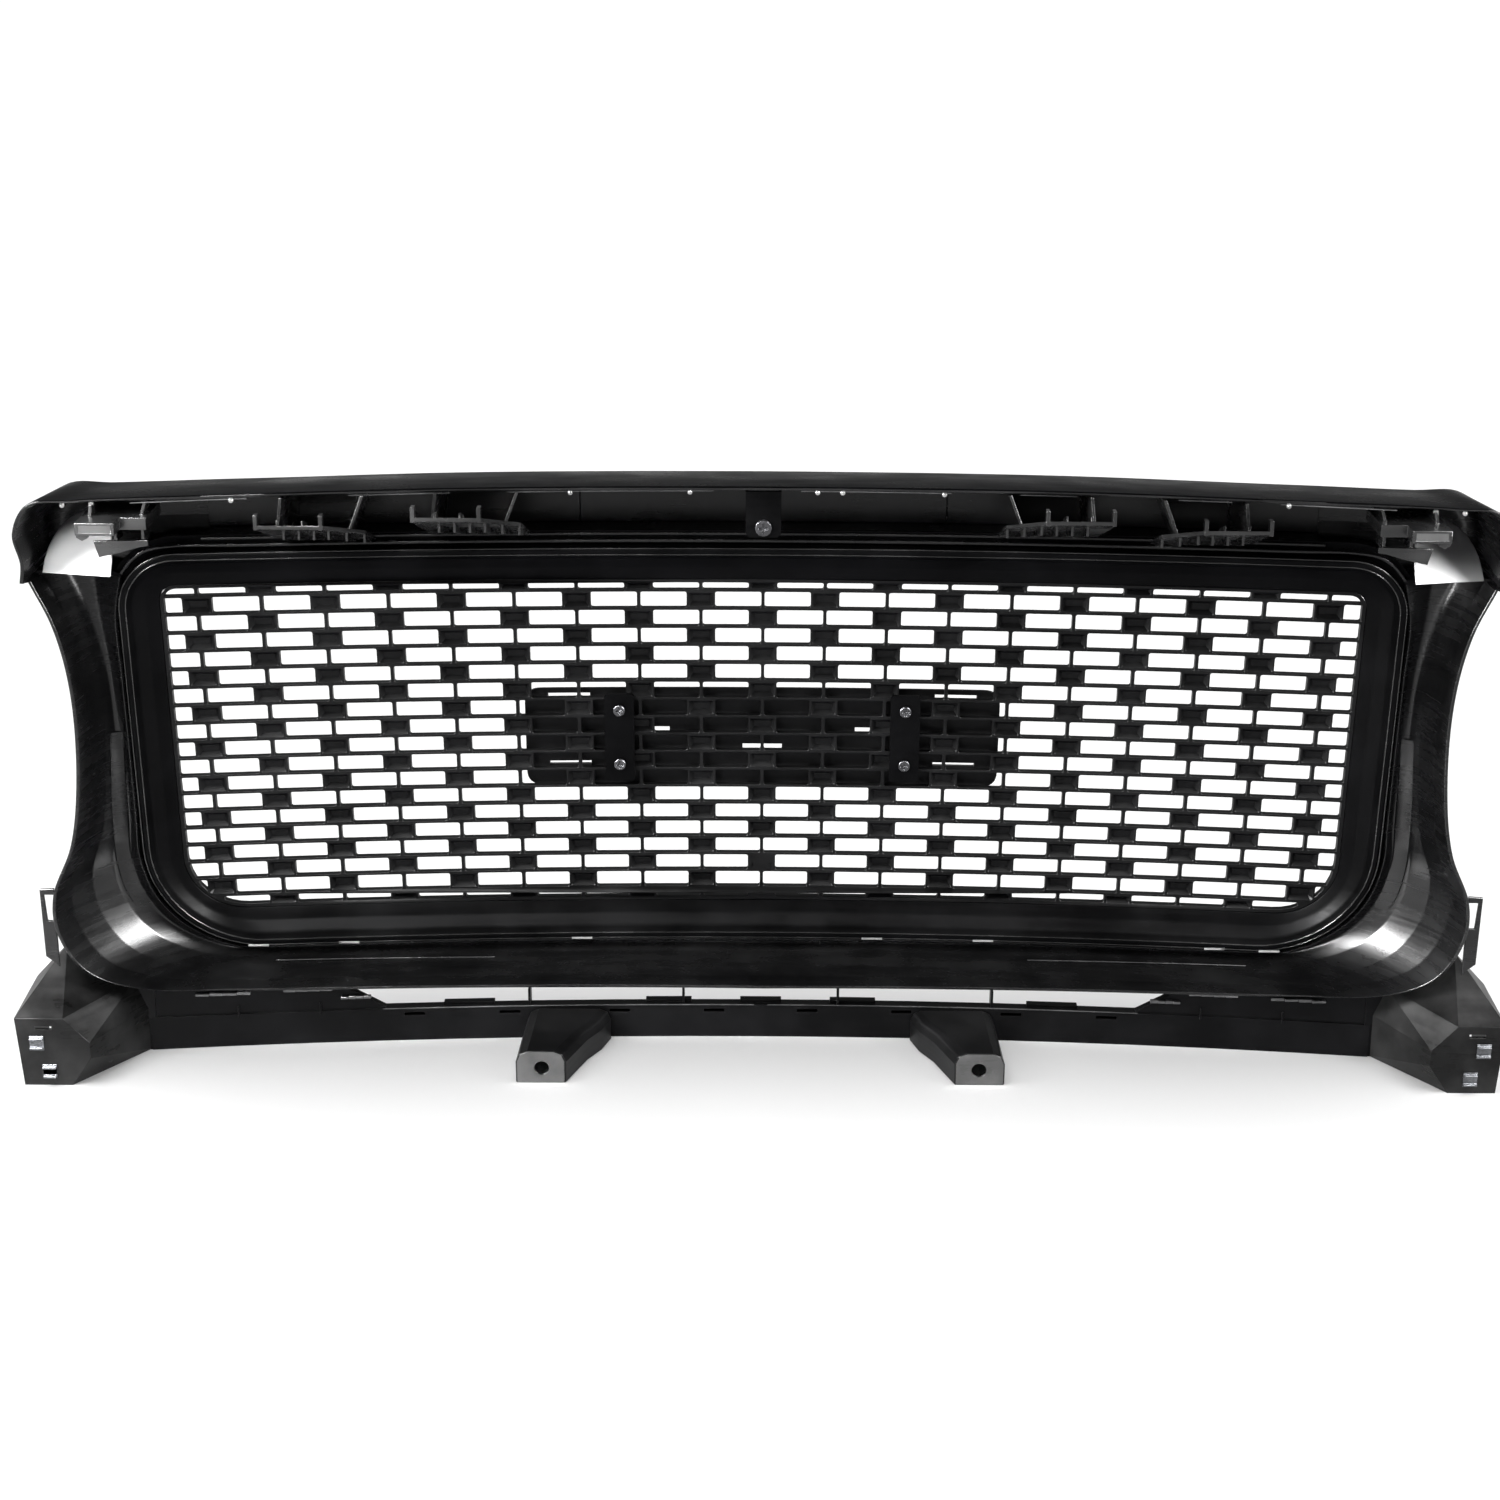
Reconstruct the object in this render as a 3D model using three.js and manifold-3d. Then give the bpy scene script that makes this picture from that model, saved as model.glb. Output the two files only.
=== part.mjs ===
// Front grille of a full-size pickup: a swept black surround with a brick-pattern mesh,
// its rear frame and header carrier, upper and lower mounts, and a blank badge carrier.
// Millimetres, +Z up, front of the vehicle towards -Y, vehicle left towards +X.
import * as THREE from 'three';
import { mergeVertices } from 'three/addons/utils/BufferGeometryUtils.js';
import { ParametricGeometry } from 'three/addons/geometries/ParametricGeometry.js';
import Module from 'manifold-3d';

const wasm = await Module();
wasm.setup();

// ---- driving dimensions ------------------------------------------------------------
const MESH_Z = 264;            // height of the mesh centre above the surface it stands on
const SWEEP = 31.9;            // how far the face sweeps rearward at 500 mm from the centre
const RAKE = Math.tan(THREE.MathUtils.degToRad(7));   // the mesh leans rearward at the top
const GAP = 0.4;               // clearance between neighbouring pieces
const WALL = 3;                // moulded wall thickness
const CENTRE_Y = 58.2;         // plan centre of the whole object, which becomes its origin

const COLUMN = 104.67;         // repeat of the mesh pattern across
const ROW = 16.5;              // repeat of the mesh pattern upward
const BAR = 2;                 // height of a horizontal mesh bar
const DIVIDER = 2.8;           // width of the thin upright between two cells
const BLOCK = 24;              // width of the wide upright between two pairs of cells
const MESH_DEPTH = 7;
const MESH_RIM = 3;
const ROWS_EACH_WAY = 9;

const OPENING = { half: 501, top: 151, bottom: -152.4, topRadius: 14, bottomRadius: 52 };
const RIDGE = { half: 524, top: 177, bottom: -177, topRadius: 42, bottomRadius: 93 };
const RIDGE_HEIGHT = 19;       // the ridge stands this far behind the mesh
const RIDGE_WIDTH = 7;

const CAP_REAR = 105;          // depth of the top cap's rear edge
const SIDE_REAR = 65;          // depth of the side rims
const LIP_REAR = 36;           // depth of the bottom lip

const TONGUE_SLOPE = 1 / 3;    // the upper tongues fall towards the front
const TONGUE_REAR = 160;       // depth of the tongues' rear edges
const SHELF_Z = 191;           // top of the header carrier's shelf

const VALANCE_REAR = 28;
const VALANCE_TOP = -234;
const FLOOR = -MESH_Z;

const BOSS_X = 122.4;          // badge bosses pass through open cells
const BOSS_HEIGHTS = [32.5, -18.2];
const BOSS_RADIUS = 5.2;

// ---- materials -----------------------------------------------------------------------
const plastic = (color, roughness) => new THREE.MeshStandardMaterial({ color, roughness, metalness: 0 });
const steel = (color, roughness) => new THREE.MeshStandardMaterial({ color, roughness, metalness: 1 });
const satinBlack = plastic(0x0d0d0e, 0.42);
const frameBlack = plastic(0x101011, 0.5);
const meshBlack = plastic(0x0b0b0c, 0.5);
const glossBlack = plastic(0x08080a, 0.15);
const greyBlack = plastic(0x2b2c2e, 0.45);
const darkSteel = steel(0x3a3b3d, 0.4);
const clipSteel = steel(0x8a8c90, 0.35);

// ---- helpers ---------------------------------------------------------------------------
const sweep = (x) => SWEEP * (x / 500) ** 2;
const meshPlane = (z) => z * RAKE;
const lerp = THREE.MathUtils.lerp;
const grille = new THREE.Group();

function solidOf(geometry) {
  const bare = geometry.index ? geometry : mergeVertices(geometry);
  bare.deleteAttribute('normal');
  bare.deleteAttribute('uv');
  const merged = mergeVertices(bare, 1e-4);
  const position = merged.attributes.position.array;
  const index = merged.index.array;
  const used = [];
  for (let i = 0; i < index.length; i += 3) {
    const [a, b, c] = [index[i], index[i + 1], index[i + 2]];
    if (a !== b && b !== c && c !== a) used.push(a, b, c);
  }
  const corner = (k) => new THREE.Vector3().fromArray(position, 3 * k);
  let volume = 0;
  for (let i = 0; i < used.length; i += 3) {
    volume += corner(used[i]).dot(corner(used[i + 1]).cross(corner(used[i + 2])));
  }
  if (volume < 0) used.reverse();
  return new wasm.Manifold(new wasm.Mesh({
    numProp: 3,
    vertProperties: new Float32Array(position),
    triVerts: new Uint32Array(used),
  }));
}

function geometryOf(solid) {
  const mesh = solid.getMesh();
  const geometry = new THREE.BufferGeometry();
  geometry.setAttribute('position', new THREE.BufferAttribute(new Float32Array(mesh.vertProperties), 3));
  geometry.setIndex(new THREE.BufferAttribute(new Uint32Array(mesh.triVerts), 1));
  geometry.computeVertexNormals();
  return geometry;
}

const asSolid = (item) => (item.isBufferGeometry ? solidOf(item) : item);
const join = (...items) => items.map(asSolid).reduce((whole, next) => whole.add(next));
const cut = (body, ...tools) => asSolid(body).subtract(join(...tools));
const common = (body, other) => asSolid(body).intersect(asSolid(other));
const outline = (points) => new THREE.Shape(points.map(([a, b]) => new THREE.Vector2(a, b)));

// Every piece is drawn about the mesh centre and then lifted onto its standing height.
function place(name, item, material) {
  const mesh = new THREE.Mesh(geometryOf(asSolid(item)), material);
  mesh.name = name;
  mesh.position.set(0, -CENTRE_Y, MESH_Z);
  grille.add(mesh);
}

// A left and a right copy of a piece drawn on the vehicle's left.
function placePair(name, item, material) {
  const solid = asSolid(item);
  place(`${name}_left`, solid, material);
  place(`${name}_right`, geometryOf(solid).scale(-1, 1, 1), material);
}

// A block between two corners.
function block(x0, x1, y0, y1, z0, z1) {
  const box = new THREE.BoxGeometry(x1 - x0, y1 - y0, z1 - z0);
  return box.translate((x0 + x1) / 2, (y0 + y1) / 2, (z0 + z1) / 2);
}

// An upright plate facing the rear: an outline in X and Z, from depth y0 back to y1.
function rearPlate(shape, y0, y1) {
  const plate = new THREE.ExtrudeGeometry(shape, { depth: y1 - y0, bevelEnabled: false, curveSegments: 8 });
  return plate.rotateX(Math.PI / 2).translate(0, y1, 0);
}

// An upright plate seen from the side: an outline in Y and Z, from x0 to x1.
function sidePlate(points, x0, x1) {
  const plate = new THREE.ExtrudeGeometry(outline(points), { depth: x1 - x0, bevelEnabled: false });
  const turn = new THREE.Matrix4().makeBasis(
    new THREE.Vector3(0, 1, 0), new THREE.Vector3(0, 0, 1), new THREE.Vector3(1, 0, 0));
  return plate.applyMatrix4(turn).translate(x0, 0, 0);
}

// A level plate whose plan outline is given in X and Y.
function levelPlate(points, z0, z1) {
  const plate = new THREE.ExtrudeGeometry(outline(points), { depth: z1 - z0, bevelEnabled: false });
  return plate.translate(0, 0, z0);
}

// A level strip that follows the plan sweep, between two depths.
function sweptStrip(x0, x1, front, rear, z0, z1, step = 60) {
  const count = Math.max(1, Math.ceil((x1 - x0) / step));
  const xs = Array.from({ length: count + 1 }, (_, i) => lerp(x0, x1, i / count));
  const along = xs.map((x) => [x, front + sweep(x)]);
  const back = xs.map((x) => [x, rear + sweep(x)]).reverse();
  return levelPlate([...along, ...back], z0, z1);
}

// A round pin or hole along Y.
function pin(x, z, radius, y0, y1, sides = 12) {
  const rod = new THREE.CylinderGeometry(radius, radius, y1 - y0, sides);
  return rod.translate(x, (y0 + y1) / 2, z);
}

// A body lofted through matching sections, each a list of [x, y, z] corners; across and up
// are the two axes that the end sections are seen in.
function loft(sections, across, up) {
  const corners = sections[0].length;
  const index = [];
  for (let s = 0; s + 1 < sections.length; s += 1) {
    for (let c = 0; c < corners; c += 1) {
      const [a, b] = [s * corners + c, s * corners + (c + 1) % corners];
      index.push(a, b, b + corners, a, b + corners, a + corners);
    }
  }
  const flat = sections[0].map((corner) => new THREE.Vector2(corner[across], corner[up]));
  const last = (sections.length - 1) * corners;
  for (const face of THREE.ShapeUtils.triangulateShape(flat, [])) {
    const sameWay = THREE.ShapeUtils.area(face.map((k) => flat[k])) * THREE.ShapeUtils.area(flat) > 0;
    const [a, b, c] = sameWay ? face : [...face].reverse();
    index.push(c, b, a, last + a, last + b, last + c);
  }
  const geometry = new THREE.BufferGeometry();
  geometry.setAttribute('position', new THREE.BufferAttribute(new Float32Array(sections.flat(2)), 3));
  geometry.setIndex(index);
  return geometry;
}

// A closed ring: the same closed section carried through stations around the grille.
function ring(stations) {
  const around = stations.length;
  const across = stations[0].length;
  const surface = (u, v, target) => {
    const station = stations[Math.round(u * around) % around];
    target.fromArray(station[Math.round(v * across) % across]);
  };
  return new ParametricGeometry(surface, around, across);
}

// Half of a rounded rectangle from the top centre round to the bottom centre.
function halfRoundedRectangle({ half, top, bottom, topRadius, bottomRadius }) {
  const STRAIGHT = 5;
  const ARC = 5;
  const points = [];
  const topEnd = half - topRadius;
  const bottomEnd = half - bottomRadius;
  for (let i = 0; i < STRAIGHT; i += 1) points.push([lerp(0, topEnd, i / STRAIGHT), top]);
  for (let i = 0; i < ARC; i += 1) {
    const turn = (i / ARC) * Math.PI / 2;
    points.push([topEnd + topRadius * Math.sin(turn), top - topRadius * (1 - Math.cos(turn))]);
  }
  const sideTop = top - topRadius;
  const sideBottom = bottom + bottomRadius;
  for (let i = 0; i < 2; i += 1) points.push([half, lerp(sideTop, sideBottom, i / 2)]);
  for (let i = 0; i < ARC; i += 1) {
    const turn = (i / ARC) * Math.PI / 2;
    points.push([bottomEnd + bottomRadius * Math.cos(turn), sideBottom - bottomRadius * Math.sin(turn)]);
  }
  for (let i = 0; i <= STRAIGHT; i += 1) points.push([lerp(bottomEnd, 0, i / STRAIGHT), bottom]);
  return points;
}

// The whole loop from its right half: the left half mirrors it.
function fullLoop(half) {
  const mirrored = half.slice(1, -1).reverse().map((station) => mirror(station));
  return [...half, ...mirrored];
}

function mirror(item) {
  if (typeof item[0] === 'number') return [-item[0], ...item.slice(1)];
  return item.map((corner) => mirror(corner));
}

// A body's left half and the mirror image of that half.
function mirroredHalf(body) {
  const half = common(body, block(0, 700, -300, 300, -400, 400));
  return join(half, geometryOf(half).scale(-1, 1, 1));
}

const grown = (size, by) => ({
  half: size.half + by,
  top: size.top + by,
  bottom: size.bottom - by,
  topRadius: size.topRadius + by,
  bottomRadius: size.bottomRadius + by,
});

// ---- mesh insert -----------------------------------------------------------------------
function meshInsert() {
  const size = grown(OPENING, -GAP);
  const strips = Math.ceil(size.half / (COLUMN / 2));
  const xs = Array.from({ length: 2 * strips + 1 }, (_, i) => (i - strips) * COLUMN / 2);
  const front = xs.map((x) => [x, sweep(x) - MESH_DEPTH]);
  const rear = xs.map((x) => [x, sweep(x)]).reverse();
  const slab = new THREE.ExtrudeGeometry(outline([...front, ...rear]), { depth: 320, bevelEnabled: false });
  slab.translate(0, 0, -160);
  slab.applyMatrix4(new THREE.Matrix4().makeShear(0, 0, 0, 0, 0, RAKE));
  const edge = outline(fullLoop(halfRoundedRectangle(size)));
  const inner = outline(fullLoop(halfRoundedRectangle(grown(size, -MESH_RIM))));
  const body = common(slab, rearPlate(edge, -60, 120));
  const window = rearPlate(inner, -60, 120);
  const cells = [];
  for (let row = -ROWS_EACH_WAY; row <= ROWS_EACH_WAY; row += 1) {
    const shift = row % 2 === 0 ? 0 : COLUMN / 2;
    for (let column = -5; column <= 5; column += 1) {
      for (const side of [-1, 1]) {
        const near = column * COLUMN + shift + side * DIVIDER / 2;
        const far = column * COLUMN + shift + side * (COLUMN - BLOCK) / 2;
        const low = row * ROW - (ROW - BAR) / 2;
        cells.push(block(Math.min(near, far), Math.max(near, far), -60, 120, low, low + ROW - BAR));
      }
    }
  }
  return cut(body, common(wasm.Manifold.union(cells.map(asSolid)), window));
}

// ---- rings around the mesh ---------------------------------------------------------------
// A ring between two rounded rectangles; the section lists [share of the width, extra width, depth].
function framedRing(inner, outer, section) {
  const inside = halfRoundedRectangle(inner);
  const outside = halfRoundedRectangle(outer);
  const half = inside.map(([xi, zi], i) => {
    const [xo, zo] = outside[i];
    const length = Math.hypot(xo - xi, zo - zi);
    return section.map(([share, extra, depth]) => {
      const reach = share + extra / length;
      const [x, z] = [lerp(xi, xo, reach), lerp(zi, zo, reach)];
      return [i === 0 || i === inside.length - 1 ? 0 : x, depth + meshPlane(z) + sweep(x), z];
    });
  });
  return ring(fullLoop(half));
}

const innerFrame = () => framedRing(OPENING, RIDGE, [
  [0, 0, -6], [0, 0, 1], [0.45, 0, 5], [0.85, 0, 12], [1, 0, RIDGE_HEIGHT], [1, 5, RIDGE_HEIGHT],
  [1, RIDGE_WIDTH, 14], [1, RIDGE_WIDTH, 6], [1, 3, 6], [0.9, 0, 4], [0.5, 0, -1],
]);

const TRIM_EDGE = { half: 546, top: 183, bottom: -201, topRadius: 80, bottomRadius: 118 };
const frontTrim = () => framedRing(grown(OPENING, 2), TRIM_EDGE, [
  [0, 0, -9], [0.3, 0, -16.3], [0.75, 0, -16.9], [1, 0, -10],
  [1, 0, -14], [0.78, 0, -20.3], [0.27, 0, -19.7], [0, 0, -13],
]);

// ---- surround shell ----------------------------------------------------------------------
// Stations from the top centre round to the bottom centre: the point beside the ridge,
// the inner edge of the rim, the rim's depth and how far the wall flares beyond the rim.
const station = (besideX, besideZ, rimX, rimZ, rimY, flare) => ({
  beside: new THREE.Vector3(besideX, 0, besideZ),
  rim: new THREE.Vector3(rimX, rimY, rimZ),
  flare: new THREE.Vector3(flare, 0, 0),
});

const CHANNEL_STATIONS = [
  station(0, 185, 0, 247.6, CAP_REAR, 0),
  station(250, 185, 250, 246.8, CAP_REAR, 0),
  station(430, 185, 440, 243.5, CAP_REAR - 2, 0),
  station(481, 185, 545, 242, CAP_REAR - 5, 2),
  station(502, 181.6, 579, 238.5, CAP_REAR - 8, 9),
  station(513.7, 175, 592, 214, CAP_REAR - 12, 15),
  station(520, 169.6, 588, 190, CAP_REAR - 15, 17),
  station(524, 165.3, 590, 174, CAP_REAR - 17, 14),
];
const BOWL_STATIONS = [
  station(527, 161.6, 590, 169.5, SIDE_REAR, 6),
  station(534.5, 127, 574, 130, SIDE_REAR, 0),
  station(534.5, 75, 564, 76, SIDE_REAR, 0),
  station(534.5, 0, 564, 0, SIDE_REAR, 0),
  station(534.5, -60, 573, -60, SIDE_REAR, 0),
  station(534, -95, 590, -102, SIDE_REAR, 0),
  station(524, -132, 589, -138, SIDE_REAR, 0),
  station(499.5, -163.5, 569, -175, SIDE_REAR - 4, 0),
  station(463, -184, 525, -196, SIDE_REAR - 12, 0),
  station(430, -187.5, 450, -204, LIP_REAR + 6, 0),
  station(230, -187.5, 235, -210, LIP_REAR, 0),
  station(0, -187.5, 0, -212.5, LIP_REAR, 0),
];

// Rear surface of the wall: share of the way from the ridge to the rim, depth, share of the flare.
function channelPath(plane, rimY) {
  return [
    [0.065, plane + 12, 0], [0.085, -12, 0], [0.3, -15.5, 0.2],
    [0.66, -16, 1], [0.79, -9, 1], [1, rimY, 0],
  ];
}

function bowlPath(plane, rimY) {
  return [
    [0.02, plane + 12, 0], [0.16, plane + 5, 0], [0.4, plane * 0.5 + 5, 0],
    [0.66, rimY * 0.25, 0.5], [0.87, rimY * 0.6, 1], [1, rimY, 0],
  ];
}

function wallSurfaces({ beside, rim, flare }, pathFor) {
  const length = Math.hypot(rim.x - beside.x, rim.z - beside.z);
  const path = pathFor(meshPlane(beside.z), rim.y);
  const rear = path.map(([share, depth, part]) => [share * length + part * flare.x, depth]);
  const front = rear.map(([s, y], i) => {
    const [s0, y0] = rear[Math.max(0, i - 1)];
    const [s1, y1] = rear[Math.min(rear.length - 1, i + 1)];
    const step = Math.hypot(s1 - s0, y1 - y0);
    return [s + WALL * (y1 - y0) / step, y - WALL * (s1 - s0) / step];
  });
  const toPlace = ([s, y]) => {
    const x = lerp(beside.x, rim.x, s / length);
    return [x, y + sweep(x), lerp(beside.z, rim.z, s / length)];
  };
  return { rear: rear.map(toPlace), front: front.reverse().map(toPlace) };
}

function wallSection(row, rearPath, frontPath) {
  return [...wallSurfaces(row, rearPath).rear, ...wallSurfaces(row, frontPath).front];
}

function shellStations(rows, path, divisions) {
  const curve = (key) => new THREE.CatmullRomCurve3(rows.map((row) => row[key]), false, 'centripetal');
  const curves = { beside: curve('beside'), rim: curve('rim'), flare: curve('flare') };
  const count = (rows.length - 1) * divisions;
  return Array.from({ length: count + 1 }, (_, i) => {
    const at = (key) => curves[key].getPoint(i / count);
    const row = { beside: at('beside'), rim: at('rim'), flare: at('flare') };
    return wallSection(row, path, path);
  });
}

// The floor of the shoulder pocket: its rear side has the bowl's shape and its front the channel's.
function pocketFloor(share) {
  const above = CHANNEL_STATIONS[CHANNEL_STATIONS.length - 1];
  const below = BOWL_STATIONS[0];
  const between = (key) => above[key].clone().lerp(below[key], share);
  const row = { beside: between('beside'), rim: between('rim'), flare: between('flare') };
  return wallSection(row, bowlPath, channelPath);
}

function surroundShell() {
  const half = [
    ...shellStations(CHANNEL_STATIONS, channelPath, 2),
    pocketFloor(0.15),
    pocketFloor(0.85),
    ...shellStations(BOWL_STATIONS, bowlPath, 2),
  ];
  for (const corner of [...half[0], ...half[half.length - 1]]) corner[0] = 0;
  return mirroredHalf(ring(fullLoop(half)));
}

// The shell is made up of a header in three lengths, two sides and a lip, with narrow joints.
const HEADER_JOINT = 156;       // height of the joints between the header and the sides
const LENGTH_JOINT = 235;       // joints between the header's lengths, across from the middle
const LIP_JOINT = 440;          // joints between the lip and the sides, across from the middle

function placeSurround() {
  const shell = surroundShell();
  const piece = (x0, x1, z0, z1) => common(shell, block(x0, x1, -300, 300, z0, z1));
  const [below, above] = [HEADER_JOINT - GAP / 2, HEADER_JOINT + GAP / 2];
  const [inside, outside] = [LIP_JOINT - GAP / 2, LIP_JOINT + GAP / 2];
  place('surround_header_centre', piece(-LENGTH_JOINT, LENGTH_JOINT, above, 400), satinBlack);
  placePair('surround_header', piece(LENGTH_JOINT + GAP, 700, above, 400), satinBlack);
  placePair('surround_side', piece(outside, 700, -400, below), satinBlack);
  place('surround_lip', piece(-inside, inside, -400, below), satinBlack);
}

// Height of the cap's underside at a given place across and a given depth.
function capUnderside(x, y) {
  const rim = 247.6 - 4.1 * (x / 440) ** 2;
  const fold = lerp(185, rim, 0.79);
  return lerp(fold, rim, (y - sweep(x) + 9) / (CAP_REAR + 9));
}

// ---- header carrier and upper mounts -------------------------------------------------------
const CARRIER_HALF = 462;
const CARRIER_FRONT = -11.2;
const SHELF_REAR = 29;
const SHELF_TOP = SHELF_Z + 2.5;
const FIN = 2.5;
const FIN_CROWN = 240;         // height at which a fin's place across is given
const UNDER_CAP = 1.4;         // clearance under the cap

const WALL_JOINT = 154;         // the wall's centre panel ends this far from the middle
const headerWall = (x0, x1) => (
  sweptStrip(x0, x1, CARRIER_FRONT, CARRIER_FRONT + WALL, SHELF_TOP + GAP, 228, 78)
);
const headerShelf = () => (
  sweptStrip(-CARRIER_HALF, CARRIER_HALF, CARRIER_FRONT, SHELF_REAR, SHELF_Z, SHELF_TOP, 78)
);

// A fin hung under the cap, from its lower edge points up; it leans outward as it goes down.
function hungFin(x, lean, lowerEdge) {
  const front = lowerEdge[0][0];
  const rear = lowerEdge[lowerEdge.length - 1][0];
  const crown = (y) => capUnderside(x, y) - UNDER_CAP;
  const edge = [...lowerEdge, [rear, crown(rear)], [front, crown(front)]];
  const fin = sidePlate(edge, x - FIN / 2, x + FIN / 2);
  fin.translate(0, 0, -FIN_CROWN);
  fin.applyMatrix4(new THREE.Matrix4().makeShear(0, 0, 0, 0, -lean, 0));
  return fin.translate(0, 0, FIN_CROWN);
}

// A sloping tongue under two fins, with ribs beneath it and upturned rear corners.
function tongueMount({ outer, rearInner, inner, tongueZ, outerFin, innerFin }) {
  const top = (y) => tongueZ - (TONGUE_REAR - y) * TONGUE_SLOPE;
  const front = TONGUE_REAR - (tongueZ - SHELF_TOP - WALL - 2 * GAP) / TONGUE_SLOPE;
  const plan = [
    [inner, front], [outer, front], [outer, TONGUE_REAR], [rearInner, TONGUE_REAR], [inner, 120],
  ];
  const plate = levelPlate(plan, -WALL, 0);
  plate.applyMatrix4(new THREE.Matrix4().makeShear(0, 0, 0, TONGUE_SLOPE, 0, 0));
  plate.translate(0, 0, tongueZ - TONGUE_REAR * TONGUE_SLOPE);
  const pieces = [plate];
  const RIBS = 6;
  for (let i = 0; i < RIBS; i += 1) {
    const x = lerp(inner + 2, outer - 20, i / (RIBS - 1));
    const rear = x < rearInner ? 112 + 1.2 * (x - inner) : 140;
    const start = front + 6;
    pieces.push(sidePlate([
      [start, top(start) - WALL / 2], [start, top(start) - WALL - 1],
      [rear, top(rear) - WALL - 7], [rear, top(rear) - WALL / 2],
    ], x - 1, x + 1));
  }
  for (const x of [rearInner, outer - 3]) {
    pieces.push(block(x, x + 3, TONGUE_REAR - 9, TONGUE_REAR, tongueZ - 4, tongueZ + 8));
  }
  for (const x of [rearInner + 16, rearInner + 36]) {
    pieces.push(sidePlate([
      [120, top(120) - 1], [150, top(150) - 1], [150, top(150) + 5], [135, top(135) + 5],
    ], x, x + 2));
  }
  for (const [x, lean] of [[outerFin, 0.12], [innerFin, 0.38]]) {
    const rear = CAP_REAR - 2 + sweep(x);
    const wall = CARRIER_FRONT + WALL + 1 + sweep(x + 18);
    pieces.push(hungFin(x, lean, [
      [wall, SHELF_TOP + GAP], [front + 3, SHELF_TOP + GAP], [front + 6, top(front + 6) - WALL / 2],
      [rear, top(rear) - WALL / 2],
    ]));
  }
  return join(...pieces);
}

// The shoulder locator: a hollow level tab under two fins, a tapered flange and a half-round key.
function shoulderLocator() {
  const [inner, step, outer] = [487, 508, 539];
  const [low, high] = [221, 231];
  const front = 84;
  const tab = levelPlate([
    [inner, front], [outer, front], [outer, TONGUE_REAR], [step, TONGUE_REAR], [step, 141], [inner, 141],
  ], low, high);
  const hollow = block(inner + WALL, outer - WALL, front - 1, 138, low - 1, high - WALL);
  const endPocket = block(step + WALL, outer - WALL, 145, TONGUE_REAR + 1, low + 2, high - 2);
  const keyShape = outline([[529, low + 1], [540, low + 1], [539, 218], [534.5, 215.5], [530, 218]]);
  const key = rearPlate(keyShape, 142, 156);
  const flange = rearPlate(outline([
    [491, 207.5], [535, 206.5], [531, 193], [513, 197], [498, 201.5], [491, 202.5],
  ]), 117, 120);
  const hangers = [494, 516].map((x) => block(x, x + 2.5, 96, 118.5, 205, high - 1));
  const fins = [[531, 0.12], [489.5, 0.3]].map(([x, lean]) => {
    const rear = CAP_REAR - 4 + sweep(x);
    return hungFin(x, lean, [[front + 4, high - 1], [rear, high - 1]]);
  });
  return join(cut(tab, hollow, endPocket), key, flange, ...hangers, ...fins);
}

function centreBracket() {
  const [half, low, rear] = [14.3, 207.5, 100];
  const top = capUnderside(0, rear - WALL) - UNDER_CAP;
  const face = outline([
    [-half, top], [-half, low + 3], [-half + 3, low], [half - 3, low], [half, low + 3], [half, top],
  ]);
  const cheek = [
    [72, low + 14], [rear - 1, low + 3], [rear - 1, top], [72, capUnderside(0, 72) - UNDER_CAP],
  ];
  const cheeks = [-half, half - 2.5].map((x) => sidePlate(cheek, x, x + 2.5));
  const hole = pin(0, 216, 5.4, rear - 9, rear + 1);
  return cut(join(rearPlate(face, rear - WALL, rear), ...cheeks), hole);
}

// A screw along Y: a round head with a cross recess and a shank towards the front.
function screw(x, z, seat, head, headHeight, shank, length) {
  const top = seat + headHeight;
  const body = join(
    pin(x, z, head, seat, top),
    pin(x, z, shank, seat - length, seat + 1, 8),
  );
  const arm = head * 0.6;
  const slot = head * 0.14;
  return cut(
    body,
    block(x - arm, x + arm, top - headHeight / 2, top + 1, z - slot, z + slot),
    block(x - slot, x + slot, top - headHeight / 2, top + 1, z - arm, z + arm),
  );
}

// A smooth panel that closes the shoulder pocket and slopes forward from its foot.
function shoulderPanel() {
  const [foot, footRear, slope] = [172, 102, 43 / 49];
  const shape = new THREE.Shape();
  shape.moveTo(583, 174.6);
  shape.quadraticCurveTo(583, 212, 545, 220.5);
  shape.lineTo(533, 220.5);
  shape.lineTo(527.5, 182);
  shape.lineTo(527.5, 171.8);
  shape.closePath();
  const panel = rearPlate(shape, footRear - 2.5, footRear).translate(0, 0, -foot);
  panel.applyMatrix4(new THREE.Matrix4().makeShear(0, 0, 0, 0, 0, -slope));
  return panel.translate(0, 0, foot);
}

// ---- badge carrier, blank badge and retainers ------------------------------------------------
const BADGE = { half: 204, top: 48, bottom: -43, topRadius: 14, bottomRadius: 14 };

// A swept and raked slab between two depths, trimmed to a rounded rectangle seen from behind.
function rakedSlab(size, front, rear) {
  const slab = sweptStrip(-size.half - 10, size.half + 10, front, rear, -120, 120, 54);
  slab.applyMatrix4(new THREE.Matrix4().makeShear(0, 0, 0, 0, 0, RAKE));
  const corner = new THREE.Shape();
  const { half, top, bottom, topRadius: radius } = size;
  corner.moveTo(half - radius, top);
  corner.quadraticCurveTo(half, top, half, top - radius);
  corner.lineTo(half, bottom + radius);
  corner.quadraticCurveTo(half, bottom, half - radius, bottom);
  corner.lineTo(-half + radius, bottom);
  corner.quadraticCurveTo(-half, bottom, -half, bottom + radius);
  corner.lineTo(-half, top - radius);
  corner.quadraticCurveTo(-half, top, -half + radius, top);
  return common(slab, rearPlate(corner, -60, 60));
}

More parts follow.
